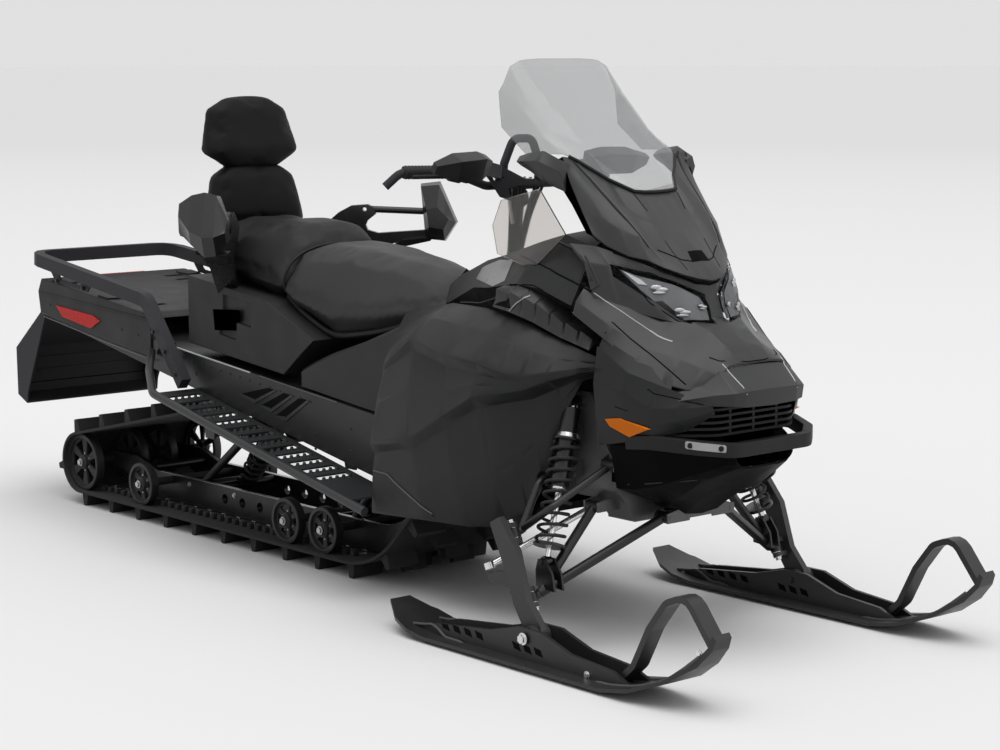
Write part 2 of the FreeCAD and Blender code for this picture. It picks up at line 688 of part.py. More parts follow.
backrest_lower = placed("backrest_lower", loft([
    pad_section(922, 176, 662, 712, 26), pad_section(950, 164, 654, 718, 26), pad_section(1000, 150, 656, 726, 24),
    pad_section(1062, 134, 664, 732, 22), pad_section(1092, 90, 676, 730, 16)]))
headrest = placed("backrest_headrest", loft([
    pad_section(1100, 78, 678, 728, 16), pad_section(1146, 154, 664, 738, 26),
    pad_section(1262, 124, 690, 758, 24), pad_section(1294, 66, 704, 752, 14)]))
frame_bars = [flat_bar([(x, 682, 790), (x, 732, 950), (x, 752, 1120), (x, 764, 1230)], 30, 30, 16) for x in (-50, 50)]
backrest_frame = placed("backrest_frame", fused(frame_bars + [
    Part.makeBox(130, 16, 30, Vector(-65, 738, 1010)), Part.makeBox(130, 62, 14, Vector(-65, 644, 782))]))


grip_hole = Vector(-265, 460, 961)
grip_run = Vector(-113, -106, 0).normalize()
grip_side = Vector(grip_run.y * -1, grip_run.x, 0)


def grip_spot(along, up, aside):
    """Point near the right grip: outwards along its bar, up from the ground, and to the bar's side."""
    return grip_hole + grip_run * along + grip_side * aside + Vector(0, 0, up - grip_hole.z)


def grip_face(outline, aside):
    """Closed outline standing along the grip's bar."""
    spots = [grip_spot(along, up, aside) for along, up in outline]
    return Part.makePolygon(spots + spots[:1])


def grip_shape():
    """Passenger's right grip: plate, bar, broad arm and the hand's wind shield, on the seat base."""
    outline = [(-98, 926), (-68, 952), (-35, 970), (8, 973), (22, 966), (30, 948), (8, 930), (3, 918), (8, 905),
               (35, 897), (165, 906), (167, 880), (62, 858), (0, 806), (-25, 740), (-95, 740), (-105, 860)]
    plate = loft([grip_face(outline, aside) for aside in (-12, 12)])
    bar = rod(grip_spot(10, 960, 0), grip_spot(170, 954, 0), 9)
    runs = ((172, 878, 44), (100, 862, 40), (40, 826, 34), (-46, 740, 29))
    arm = []
    for along, up, half in runs:
        spots = [grip_spot(along + slide, up + lift, aside) for slide, lift, aside in (
            (-7, 9, -half), (-7, 9, half), (7, -9, half), (7, -9, -half))]
        arm.append(Part.makePolygon(spots + spots[:1]))
    pods = ((-79, [(168, 990), (176, 1004), (188, 975), (184, 935), (172, 925)]),
            (-45, [(150, 1012), (186, 1026), (226, 940), (206, 906), (160, 908)]),
            (-10, [(147, 1028), (198, 1034), (244, 926), (212, 874), (160, 880)]),
            (18, [(148, 1022), (196, 1026), (240, 926), (210, 878), (160, 882)]),
            (43, [(164, 962), (192, 968), (222, 936), (208, 908), (170, 916)]))
    pod = loft([grip_face(line, aside) for aside, line in pods])
    hole = boss(grip_hole + Vector(0, 0, -1), 5, 40, grip_side)
    return largest(fused([plate, bar, loft(arm), pod]).cut([hole, seat_base.Shape, passenger_seat.Shape]))


def boss(spot, radius, half, along):
    """Round boss centred on a point."""
    return Part.makeCylinder(radius, 2 * half, spot - along * half, along)


# Body panels
wall = size("panel_wall")


def side_panel_shape():
    """Right side panel: creased above and below its face, running forward to a pointed tip over the damper."""
    lean = 0.2
    stations = (
        (-297, lean, [(-340, 768), (-374, 704), (-394, 640), (-392, 618), (-402, 540), (-406, 428), (-388, 404), (-384, 330),
                      (-372, 240)]),
        (-545, 0, [(-262, 797), (-330, 768), (-404, 716), (-394, 688), (-410, 590), (-416, 462), (-394, 436), (-388, 350),
                   (-364, 250)]),
        (-680, 0, [(-270, 796), (-340, 757), (-408, 690), (-394, 660), (-412, 600), (-418, 536), (-392, 508), (-378, 380),
                   (-328, 249)]),
        (-794, 0, [(-288, 790), (-350, 747), (-412, 686), (-398, 656), (-410, 628), (-416, 598), (-384, 570), (-358, 400),
                   (-298, 262)]),
        (-880, 0, [(-300, 776), (-356, 735), (-408, 670), (-402, 650), (-406, 634), (-409, 614), (-372, 590), (-345, 440),
                   (-305, 310)]),
        (-950, 0, [(-314, 762), (-362, 722), (-402, 664), (-401, 652), (-402, 642), (-400, 629), (-360, 606), (-345, 500),
                   (-330, 385)]),
        (-1030, 0, [(-328, 748), (-366, 715), (-396, 682), (-397, 675), (-396, 668), (-394, 660), (-356, 640), (-347, 606),
                    (-338, 575)]),
        (-1110, 0, [(-346, 736), (-370, 716), (-390, 698), (-391, 693), (-391, 689), (-389, 684), (-370, 676), (-363, 671),
                    (-356, 666)]),
        (-1205, 0, [(-368, 727), (-377, 721), (-384, 716), (-387, 712), (-388, 708), (-387, 704), (-383, 700), (-379, 697),
                    (-374, 695)]))
    sections = []
    for y, tilt, points in stations:
        flat = wall_section(0, points, wall)
        spots = [Vector(v.Point.x, y - tilt * v.Point.z, v.Point.z) for v in flat.Vertexes]
        sections.append(Part.makePolygon(spots + spots[:1]))
    return loft(sections)


def console_shape():
    """Tank and console cover between the seat and the fairing, with the steering post's opening."""
    sections = []
    for y, half, low, side, shoulder, shoulder_z, top_half, top in (
            (-345, 120, 742, 770, 104, 818, 60, 838), (-450, 196, 760, 786, 160, 852, 90, 868),
            (-590, 232, 776, 838, 184, 904, 112, 912), (-680, 262, 786, 846, 192, 926, 120, 934),
            (-800, 276, 800, 866, 192, 964, 124, 972), (-890, 278, 806, 860, 192, 988, 124, 994),
            (-985, 264, 800, 826, 186, 962, 120, 1000)):
        right = [(-0.8 * half, low), (-half, side), (-shoulder, shoulder_z), (-top_half, top)]
        sections.append(section(y, right + [(-x, z) for x, z in right[::-1]]))
    return loft(sections)


def lamp_block(grow):
    """Right headlamp, or with growth the opening that it sits in."""
    sections = []
    for x, points in ((-194 - grow, [(-1034, 924), (-1060, 924), (-1072, 902), (-1036, 896)]),
                      (-150, [(-1080, 908), (-1114, 910), (-1142, 850), (-1090, 846)]),
                      (-84, [(-1130, 880), (-1170, 882), (-1216, 786), (-1140, 782)]),
                      (-24 + grow, [(-1160, 852), (-1204, 852), (-1236, 786), (-1172, 782)])):
        middle_y, middle_z = sum(y for y, z in points) / 4, sum(z for y, z in points) / 4
        sections.append(lateral(x, [(y + math.copysign(grow, y - middle_y), z + math.copysign(grow, z - middle_z))
                                    for y, z in points]))
    return loft(sections)


def brow_shape():
    """Band of the hood round the lamps, up to the fairing's lower edge."""
    return side_loft(both_ways([
        (0, [(-1186, 882), (-1199, 846), (-1222, 784)]), (28, [(-1184, 884), (-1194, 848), (-1226, 780)]),
        (84, [(-1150, 902), (-1164, 870), (-1206, 784)]), (140, [(-1104, 930), (-1120, 898), (-1166, 800)]),
        (198, [(-1006, 966), (-1048, 922), (-1084, 824)]), (232, [(-946, 972), (-1000, 930), (-1032, 846)])]), wall)


def hood_shape():
    """Hood shell: open below, over the engine bay, down to the nose, with the lamps' openings."""
    half = [(-1000, [(272, 808), (262, 838), (234, 870), (150, 892)], 898),
            (-1100, [(258, 752), (240, 784), (200, 818), (130, 852)], 864),
            (-1180, [(246, 700), (206, 738), (160, 762), (96, 810)], 822),
            (-1250, [(214, 660), (166, 716), (124, 736), (64, 776)], 780),
            (-1306, [(172, 644), (136, 694), (106, 716), (58, 738)], 742),
            (-1342, [(142, 640), (120, 680), (92, 702), (50, 706)], 706)]
    stations = []
    for y, right, top in half:
        stations.append((y, right + [(0, top)] + [(-x, z) for x, z in right[::-1]]))
    openings = [lamp_block(2), lamp_block(2).mirror(Vector(0, 0, 0), Vector(1, 0, 0))]
    return largest(fused([panel(stations, wall), brow_shape()]).cut(openings + [nose.Shape]))


def across_loft(stations):
    """Solid through vertical sections given from the centre outwards, the same on both sides."""
    right = [(-x, points) for x, points in stations[::-1] if x > 0]
    return loft([lateral(x, points) for x, points in right + stations])


def side_loft(stations, thick):
    """Thin shell through outer lines in vertical planes, from the rear top to the front bottom."""
    sections = []
    for x, points in stations:
        inner = []
        for i, (y, z) in enumerate(points):
            before, after = points[max(i - 1, 0)], points[min(i + 1, len(points) - 1)]
            along = Vector(after[0] - before[0], after[1] - before[1], 0).normalize()
            inner.append((y - along.y * thick, z + along.x * thick))
        sections.append(lateral(x, list(points) + inner[::-1]))
    return loft(sections)


def both_ways(stations):
    """Stations given from the centre outwards, repeated on the right."""
    return [(-x, points) for x, points in stations[::-1] if x > 0] + stations


nose = placed("nose", across_loft([
    (0, [(-1300, 700), (-1345, 698), (-1402, 648), (-1396, 606), (-1290, 598)]),
    (85, [(-1298, 698), (-1342, 696), (-1398, 646), (-1393, 608), (-1288, 598)]),
    (118, [(-1290, 692), (-1338, 688), (-1390, 643), (-1385, 612), (-1285, 600)]),
    (150, [(-1270, 664), (-1322, 660), (-1354, 638), (-1346, 612), (-1265, 604)]),
    (208, [(-1210, 640), (-1262, 636), (-1284, 622), (-1268, 606), (-1200, 604)])]))

hood = placed("hood", hood_shape())
headlamps = both_sides("headlamps", lamp_block(0))
grille_path = [(-222, -1215), (-185, -1290), (-128, -1336), (128, -1336), (185, -1290), (222, -1215)]


def grille_shape():
    """Air inlet below the nose: slats that follow its plan, on upright bars."""
    slats = [flat_bar([(x, y, z) for x, y in grille_path], 60, 10, 6) for z in (540, 555, 570, 585, 600)]
    bars = [Part.makeBox(8, 8, 66, Vector(x - 4, -1338, 537)) for x in (-80, 0, 80)]
    return fused(slats + bars).cut(nose.Shape)


bumper_right = [(-262, -1180, 520), (-246, -1240, 525), (-188, -1344, 518), (-124, -1396, 512)]
bumper_path = bumper_right + [(-x, y, z) for x, y, z in bumper_right[::-1]]
bumper = placed("front_bumper", flat_bar(bumper_path, 50, 24, 34))

belly_half = [(-1374, [(104, 493), (97, 476), (80, 462), (50, 458)], 458),
              (-1300, [(176, 499), (160, 446), (130, 426), (70, 418)], 416),
              (-1232, [(226, 505), (206, 416), (140, 378), (60, 368)], 366),
              (-1170, [(252, 508), (229, 400), (120, 356), (56, 318)], 312),
              (-1118, [(259, 505), (237, 398), (118, 352), (54, 302)], 296)]
arm_front = (104, -1146, 314)
notches = [Part.makeBox(46, 66, 60, Vector(x - 23, arm_front[1] - 33, 276)) for x in (-arm_front[0], arm_front[0])]
nose_sides = both_sides("nose_sides", largest(panel([
    (-1085, [(-272, 738), (-284, 650), (-274, 566), (-264, 500)]),
    (-1180, [(-268, 686), (-277, 640), (-272, 566), (-264, 520)]),
    (-1244, [(-234, 662), (-256, 606), (-254, 566), (-250, 536)]),
    (-1296, [(-186, 636), (-208, 606), (-202, 576), (-184, 550)]),
    (-1344, [(-146, 618), (-150, 611), (-149, 600), (-142, 590)])], wall).cut([nose.Shape, bumper.Shape])))
grille = placed("grille", grille_shape().cut(nose_sides.Shape))
amber_line = [(-1126, 570), (-1168, 576), (-1250, 558), (-1196, 534), (-1140, 554)]


def amber_face(out):
    """The reflector's outline in a plane that follows the nose's side, moved out from it."""
    spots = [Vector(-out + 0.17 * (-1126 - y), y, z) for y, z in amber_line]
    return Part.makePolygon(spots + spots[:1])


amber_pieces = loft([amber_face(out) for out in (285, 275)]).cut([nose_sides.Shape, bumper.Shape]).Solids
amber = both_sides("front_reflectors", min(amber_pieces, key=lambda piece: piece.BoundBox.XMin))


def ear_shape(side):
    """Air deflector at a top corner of the fairing, long and open-ended towards the rider."""
    return loft([section(y, [(side * x, z) for x, z in points]) for y, points in (
        (-770, [(222, 1164), (237, 1175), (248, 1162), (234, 1152)]),
        (-804, [(212, 1170), (236, 1184), (253, 1164), (231, 1138)]),
        (-850, [(206, 1174), (230, 1190), (252, 1166), (226, 1112)]),
        (-912, [(200, 1158), (222, 1166), (232, 1140), (214, 1092)]))])


fairing = placed("fairing", fused([side_loft(both_ways([
    (0, [(-1003, 1086), (-1076, 1014), (-1146, 948), (-1200, 886)]),
    (40, [(-1003, 1087), (-1074, 1014), (-1140, 948), (-1194, 892)]),
    (72, [(-1001, 1090), (-1066, 1020), (-1126, 952), (-1176, 902)]),
    (112, [(-952, 1118), (-1030, 1044), (-1096, 976), (-1142, 920)]),
    (136, [(-932, 1137), (-1022, 1058), (-1086, 992), (-1118, 936)]),
    (166, [(-902, 1162), (-992, 1076), (-1054, 1008), (-1082, 946)]),
    (188, [(-894, 1174), (-960, 1100), (-1012, 1030), (-1030, 968)]),
    (210, [(-896, 1177), (-922, 1116), (-966, 1048), (-1000, 998)])]), wall),
    ear_shape(1), ear_shape(-1)]))
windshield = placed("windshield", side_loft(both_ways([
    (0, [(-658, 1411), (-750, 1322), (-870, 1212), (-1000, 1094)]),
    (40, [(-657, 1411), (-749, 1322), (-869, 1212), (-1000, 1095)]),
    (72, [(-656, 1411), (-746, 1322), (-862, 1214), (-998, 1098)]),
    (112, [(-655, 1409), (-738, 1324), (-846, 1222), (-949, 1126)]),
    (136, [(-654, 1406), (-732, 1324), (-836, 1222), (-929, 1145)]),
    (166, [(-653, 1392), (-716, 1324), (-808, 1236), (-899, 1170)]),
    (186, [(-654, 1354), (-706, 1302), (-788, 1228), (-872, 1184)]),
    (201, [(-654, 1330), (-658, 1290), (-664, 1244), (-752, 1182)])]), 4).cut(fairing.Shape))
deflectors = placed("side_deflectors", Part.makeCompound([
    loft([lateral(side * x, [(-940, 992), (-846, 1098), (-704, 1064), (-672, 1000), (-690, 930), (-820, 900)])
          for x in (237, 241)]) for side in (-1, 1)]).cut(fairing.Shape))
gauge = placed("gauge", loft([section(y, [(-half, z), (half, z), (half * 0.9, z + tall), (-half * 0.9, z + tall)])
                              for y, half, z, tall in ((-950, 90, 998, 40), (-860, 96, 984, 54), (-838, 80, 981, 52))]))
gill_run = ((-740, (-262, 858), (-286, 838), (-298, 806)), (-800, (-270, 866), (-294, 838), (-304, 800)),
            (-890, (-272, 856), (-304, 826), (-314, 786)), (-1010, (-276, 808), (-318, 788), (-334, 760)),
            (-1128, (-282, 766), (-330, 758), (-352, 742)))


def gill_section(y, out):
    """Outer line of the air inlet beside the cowl at one place, stood off its bed."""
    for (near, *start), (far, *end) in zip(gill_run, gill_run[1:]):
        if y >= far:
            break
    share = (near - y) / (near - far)
    line = [(a[0] + (b[0] - a[0]) * share, a[1] + (b[1] - a[1]) * share) for a, b in zip(start, end)]
    (top_x, top_z), (x, z), (low_x, low_z) = line
    return y, [(top_x, top_z), (x - out * 0.8, z + out), (low_x, low_z)]


gills, gill_pitch = 7, 55
gill_stations = []
for i in range(gills):
    start = -740 - i * gill_pitch
    gill_stations += [gill_section(start, 0), gill_section(start - 12, 13), gill_section(start - gill_pitch + 5, 5)]
vents = both_sides("side_vents", panel(gill_stations + [gill_section(-740 - gills * gill_pitch, 0)], wall))

# Frame at the front, the engine and its pan
box_wall, tower_half = "ear_thick + 1", 211
tower_body = body("tower")
tower = [(-940, 612), (-1000, 612), (-1062, 480), (-1096, 440), (-1172, 424), (-1172, 308), (-1096, 300),
         (-1000, 300), (-1000, 350), (-880, 350), (-880, 560)]
pad(tower_body, "YZ", tower, -tower_half, tower_half)
pocket(tower_body, "YZ", [(-1056, 480), (-1088, 436), (-1088, 410), (-870, 410), (-870, 620), (-1000, 620)],
       f"-{tower_half} + {box_wall}", f"{tower_half} - ({box_wall})")
pocket(tower_body, "YZ", [(-1088, 308), (-870, 308), (-870, 411), (-1088, 411)], -138, 138)
pocket(tower_body, "YZ", [(-1180, 352), (-1094, 352), (-1094, 444), (-1180, 430)],
       f"-{tower_half} + {box_wall}", f"{tower_half} - ({box_wall})")
for way in (-1, 1):
    pocket(tower_body, "XZ", [(way * 220, 280), (way * 220, 400), (way * 150, 306), (way * 150, 280)], -1094, -870)
    pocket(tower_body, "XZ", [(way * 220, 280), (way * 220, 418), (way * 112, 366), (way * 50, 318), (way * 50, 280)], -1180, -1094)
doc.recompute()
engine = body("engine_block")
pad(engine, "YZ", [(-850, 330), (-480, 330), (-480, 640), (-600, 720), (-850, 700)], -180, 180)
pan = body("engine_pan")
pan_side = [(-880, 330), (-860, 296), ("tunnel_front_y - 1", "board_front_z"), ("tunnel_front_y - 1", "board_front_z + 90")]
pad(pan, "YZ", pan_side, "-tunnel_wide / 2", "tunnel_wide / 2")
pocket(pan, "YZ", [(-890, 336), (-856, 302), ("tunnel_front_y + 9", "board_front_z + 6"), ("tunnel_front_y + 9", "board_front_z + 99")],
       "-tunnel_wide / 2 + 5", "tunnel_wide / 2 - 5")

# Front suspension, right side
stance = size("ski_stance") / 2
king_x = -stance + 35
upper_ball, lower_ball = Vector(king_x, -965, 290), Vector(king_x, -1030, 145)
king = (upper_ball - lower_ball).normalize()
along_y = Vector(0, 1, 0)
pivot_x = -tower_half - size("pivot_boss_radius") - 0.5
upper_pivots = (Vector(pivot_x, -1085, 447), Vector(pivot_x, -948, 418))
lower_pivots = (Vector(-arm_front[0], arm_front[1], arm_front[2]), Vector(pivot_x, -1030, 340))
boss_half = 20


def control_arm(ball, routes, radius, pin):
    """Arm of two tubes from its pivots on the bulkhead to a boss about the kingpin."""
    bore = boss(ball, pin + size("pin_play"), 40, king)
    shapes = [boss(ball, 15, 12, king), rod(ball + Vector(8, 0, 0), ball + Vector(30, 0, 8), 10)]
    holes = [bore]
    for route in routes:
        spots = [ball + Vector(26, 0, 7)] + list(route)
        shapes.append(tube([tuple(spot) for spot in spots], radius, 30) if len(spots) > 2 else rod(*spots, radius))
        shapes.append(boss(spots[-1], size("pivot_boss_radius"), boss_half, along_y))
        holes.append(boss(spots[-1], size("pivot_pin_radius + pin_play"), boss_half + 2, along_y))
    return fused(shapes).cut(holes)


def pivot_ears(spot, inner_x):
    """Two ears with a pin through an arm's boss, out from the bulkhead's wall."""
    thick = size("ear_thick")
    reach = size("pivot_pin_radius") + 6
    shapes = [boss(spot, size("pivot_pin_radius"), boss_half + thick + 1.5, along_y)]
    for way in (-1, 1):
        near = spot.y + way * (boss_half + 0.5 + thick / 2) - thick / 2
        corners = [Vector(inner_x, near, spot.z - reach), Vector(spot.x - reach, near, spot.z - reach),
                   Vector(spot.x - reach, near, spot.z + reach), Vector(inner_x, near, spot.z + reach + 14)]
        shapes.append(Part.Face(Part.makePolygon(corners + corners[:1])).extrude(Vector(0, thick, 0)))
    return shapes


def bulkhead_shape():
    """Sheet tower behind the nose with the ears of both sides' arms and the dampers' upper bolts."""
    pivots = [(spot, -tower_half + 3) for spot in upper_pivots]
    pivots += [(lower_pivots[0], -40), (lower_pivots[1], -150)]
    right = [shape for spot, inner_x in pivots for shape in pivot_ears(spot, inner_x)]
    right += [rod((-tower_half + 3, shock_top.y, shock_top.z), (shock_top.x - 22, shock_top.y, shock_top.z),
                  size("pivot_pin_radius")),
              boss(shock_top - Vector(20, 0, 0), 10, 3, Vector(1, 0, 0)),
              boss(Vector(-tower_half - 2, shock_top.y, shock_top.z), 12, 9, Vector(1, 0, 0))]
    left = [shape.mirror(Vector(0, 0, 0), Vector(1, 0, 0)) for shape in right]
    return fused([tower_body.Shape] + right + left)


shock_top = Vector(-240, -972, 590)
bulkhead = placed("bulkhead", bulkhead_shape())
belly = placed("belly_pan", largest(panel(
    [(y, [(-x, z) for x, z in right] + [(0, low)] + right[::-1]) for y, right, low in belly_half], wall).cut(
        notches + [bulkhead.Shape])))
king_pin = 7
upper_legs = list(zip((Vector(-394, -1052, 357), Vector(-335, -953, 406)), upper_pivots))
upper_arm = placed("upper_arm_right", control_arm(upper_ball, upper_legs, 9, king_pin))
arm_room = fused([shape for bend, pivot in upper_legs for shape in (rod(upper_ball, bend, 24), rod(bend, pivot, 20))])
side_panel = placed("side_panel_right", largest(side_panel_shape().cut(arm_room)))
lower_arm_bare = control_arm(lower_ball, [lower_pivots[:1], lower_pivots[1:]], 12, king_pin)
shock_low = Vector(-380, -1028, 226)
eye_half = 10
cheek = [(-1074, 160), (-1010, 166), (-1008, 205), (-1016, 232), (-1040, 233), (-1066, 200)]
cheeks = [loft([lateral(shock_low.x + x, cheek) for x in (inside, inside + way * 6)])
          for way, inside in ((-1, -eye_half - 1), (1, eye_half + 1))]
shock_pin = boss(shock_low, size("pivot_pin_radius"), eye_half + 9, Vector(1, 0, 0))
lower_arm = placed("lower_arm_right", fused([lower_arm_bare, shock_pin] + cheeks))


def spring_coils(start, end, turns, radius, wire):
    """Coil of square wire between two points, in straight runs."""
    along = (end - start).normalize()
    side = along.cross(Vector(0, 1, 0)).normalize()
    other = along.cross(side)
    steps = 8
    sections = []
    for i in range(int(turns * steps) + 1):
        turn = 2 * math.pi * i / steps
        out = side * math.cos(turn) + other * math.sin(turn)
        spot = start + (end - start) * (i / (turns * steps))
        corners = [spot + out * (radius + a * wire / 2) + along * (b * wire / 2)
                   for a, b in ((1, 0), (0, 1), (-1, 0), (0, -1))]
        sections.append(Part.makePolygon(corners + corners[:1]))
    return loft(sections)


def front_shock():
    """Right damper with its spring between two perches."""
    top, low = shock_top, shock_low
    along = (top - low).normalize()
    whole = (top - low).Length
    radius, coil = size("shock_body_radius"), size("spring_radius")
    shapes = [Part.makeCylinder(radius, 0.5 * whole, low + along * 0.44 * whole, along),
              Part.makeCylinder(radius * 0.4, 0.5 * whole, low + along * 8, along),
              Part.makeCylinder(radius * 0.45, 0.08 * whole, low + along * 0.91 * whole, along),
              Part.makeCylinder(coil + 2, 8, low + along * 35, along),
              Part.makeCylinder(coil - 2, 12, low + along * (0.76 * whole), along),
              boss(low, 13, eye_half, Vector(1, 0, 0)), boss(top, 14, 14, Vector(1, 0, 0)),
              spring_coils(low + along * 43, low + along * (0.76 * whole), 7, coil - 3, size("spring_wire"))]
    bores = [boss(spot, size("pivot_pin_radius + pin_play"), 30, Vector(1, 0, 0)) for spot in (top, low)]
    return fused(shapes).cut(bores)


shock_right = placed("shock_right", front_shock())
ski_bolt = Vector(-stance, size("ski_bolt_y"), size("ski_bolt_z"))
tie_out = Vector(king_x - 20, -905, 190)
tie_in = Vector(-170, -956, 317)


def spindle_shape():
    """Right spindle: blade outside the kingpin, its lugs, ski foot and steering arm."""
    blade_low, blade_high = king_x - 42, king_x - 24
    line = [(-1112, 62), (-1062, 58), (-1012, 130), (-985, 200), (-925, 316), (-958, 334),
            (-1020, 262), (-1058, 150), (-1106, 96)]
    shapes = [loft([lateral(x, line) for x in (blade_low, blade_high)]),
              boss(ski_bolt, 26, size("saddle_wide") / 2 - 1, Vector(1, 0, 0))]
    for ball, far in ((upper_ball, 22), (lower_ball, 22)):
        for way in (-1, 1):
            spot = ball + king * way * (far - 3)
            across = king.cross(Vector(1, 0, 0)) * 13
            corners = [spot + Vector(-30, 0, 0) - across, spot - across, spot + across, spot + Vector(-30, 0, 0) + across]
            lug_face = Part.Face(Part.makePolygon(corners + corners[:1]))
            shapes.append(lug_face.translated(-king * 6).extrude(king * 12))
            shapes.append(boss(spot, 13, 6, king))
        shapes.append(boss(ball, king_pin, far, king))
    arm = [(-1000, 168), (-1000, 206), (-930, 196), (-905, 178), (-930, 166)]
    shapes.append(loft([lateral(x, arm) for x in (king_x - 32, king_x - 14)]))
    shapes.append(boss(tie_out - king * 12, 9, 10, king))
    foot = boss(ski_bolt, size("ski_bolt_radius + pin_play"), size("saddle_wide"), Vector(1, 0, 0))
    return fused(shapes).cut(foot)


spindle = placed("spindle_right", spindle_shape())


def tie_rod_shape():
    """Right tie rod with its ball end over the spindle's arm."""
    return fused([rod(tie_out + king * 14, tie_in, size("tie_rod_radius")), boss(tie_out + king * 14, 12, 8, king)])


tie_rod = placed("tie_rod_right", tie_rod_shape())


def ski_shape():
    """Right ski: upturned blade, keel, two side walls, bolt and grab loop."""
    half, thick, keel = size("ski_wide") / 2, size("ski_thick"), size("keel_tall")
    low = keel - 4
    under = [(-1687, 176), (-1678, 150), (-1640, 108), (-1560, 58), (-1470, 24), (-1380, low), (-760, low),
             (-690, 18), (-625, 38), (-574, 62)]
    over = [(y + (0 if z < 100 else 9), z + thick) for y, z in under[::-1]]
    taper = [(-1689, 0.3), (-1666, 0.36), (-1640, 0.44), (-1560, 0.8), (-1450, 1), (-700, 1), (-640, 0.86), (-590, 0.5),
             (-572, 0.38)]
    rim = [Vector(-stance - half * share, y, -1) for y, share in taper] + [
        Vector(-stance + half * share, y, -1) for y, share in taper[::-1]]
    plan = Part.Face(Part.makePolygon(rim + rim[:1])).extrude(Vector(0, 0, 400))
    blade = loft([lateral(x, under + over) for x in (-stance - half, -stance + half)]).common(plan)
    keel_line = [(-1420, keel), (-1400, 0), (-760, 0), (-740, keel)]
    shapes = [blade, loft([lateral(x, keel_line) for x in (-stance - size("keel_wide") / 2, -stance + size("keel_wide") / 2)])]
    wall_line = [(-1440, 24), (-1380, 48), (-1240, 60), (-1140, 92), (-1060, 92), (-960, 66), (-760, 44), (-690, 24),
                 (-760, low + 2), (-1400, low + 2)]
    gap = size("saddle_wide") / 2 + size("saddle_gap") - 5
    for side in (-1, 1):
        inside = side * gap
        shapes.append(loft([lateral(-stance + x, wall_line) for x in (inside, inside + side * 10)]))
    shapes.append(boss(ski_bolt, size("ski_bolt_radius"), gap + 16, Vector(1, 0, 0)))
    loop = [(-stance, y, z) for y, z in ((-1370, 14), (-1430, 68), (-1478, 162), (-1530, 230), (-1590, 254), (-1674, 150))]
    shapes.append(flat_bar(loop, 40, 44, 15))
    return fused(shapes)


ski = placed("ski_right", ski_shape())

# Steering
post_low, post_top = Vector(0, -463, 780), Vector(0, -505, 1072)
post_axis = (post_top - post_low).normalize()
clamp_low = post_top.z + 2
steering_post = placed("steering_post", fused([
    rod(post_low, post_top + post_axis * 10, size("post_radius")), boss(post_top - post_axis * 22, 24, 14, Vector(1, 0, 0))]).cut(
        Part.makeBox(100, 100, 100, Vector(-50, post_top.y - 50, clamp_low))))
console = placed("console", largest(console_shape().cut([
    boss(post_low, size("post_radius") + 8, 400, post_axis), gauge.Shape, deflectors.Shape, vents.Shape])))


def handlebar_shape():
    """Bar with its hooked ends, grips and the grab hoop in the middle."""
    right = [(-385, -426, 1090), (-352, -448, 1126), (-215, -486, 1124), (-120, -508, 1086)]
    path = right + [(-x, y, z) for x, y, z in right[::-1]]
    shapes = [tube(path, size("bar_radius"), 40)]
    for side in (-1, 1):
        shapes.append(rod((side * 345, -450, 1125.8), (side * 222, -484, 1124.1), size("grip_radius")))
    shapes.append(Part.makeBox(64, 36, 26, Vector(-32, -526, clamp_low)))
    hoop = [(-60, -507, 1086), (-62, -512, 1140), (-32, -515, 1205), (32, -515, 1205), (62, -512, 1140), (60, -507, 1086)]
    return fused(shapes + [tube(hoop, 11, 30)])


handlebar = placed("handlebar", handlebar_shape())


def guard_shape(side):
    """Hand guard pod ahead of a grip, on its flat arm."""
    pod = loft([lateral(side * x, points) for x, points in (
        (368, [(-598, 1158), (-612, 1148), (-600, 1128), (-584, 1136)]), (300, [(-588, 1178), (-634, 1158), (-614, 1108), (-572, 1120)]),
        (215, [(-582, 1180), (-624, 1162), (-604, 1108), (-566, 1124)]), (172, [(-566, 1170), (-596, 1154), (-582, 1122), (-556, 1132)]))])
    arm = flat_bar([(side * 200, -588, 1140), (side * 120, -560, 1124), (side * 80, -506, 1114)], 20, 14, 34)
    return fused([pod, arm]).cut(handlebar.Shape)


guards = placed("hand_guards", Part.makeCompound([guard_shape(side) for side in (-1, 1)]))
passenger_grips = both_sides("passenger_grips", grip_shape())

# Left side
for name, source in {"running_board": running_board, "side_panel": side_panel, "lower_arm": lower_arm,
                     "upper_arm": upper_arm, "shock": shock_right, "spindle": spindle, "tie_rod": tie_rod,
                     "ski": ski}.items():
    mirrored(name + "_left", source)

doc.recompute()
pieces = [item for item in doc.Objects if item not in (board, tower_body)
          and item.TypeId in ("Part::Feature", "PartDesign::Body", "Part::Mirroring")]
for item in doc.Objects:
    if "Invalid" in item.State or "Error" in item.State:
        raise RuntimeError(f"{item.Label} did not build: {item.State}")
for piece in pieces:
    if piece.Shape.isNull() or not piece.Shape.isValid():
        raise RuntimeError(f"{piece.Label} has no sound shape")
os.makedirs("parts", exist_ok=True)
for piece in pieces:
    piece.Shape.exportStep(f"parts/{piece.Label}.step")
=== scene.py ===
"""Looks of the two-up utility snowmobile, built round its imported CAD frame, in metres."""

import logging
import math
from dataclasses import dataclass
from enum import Enum
from typing import Callable, Iterable, Sequence

import bmesh
import bpy
from mathutils import Matrix, Vector
from mathutils.bvhtree import BVHTree


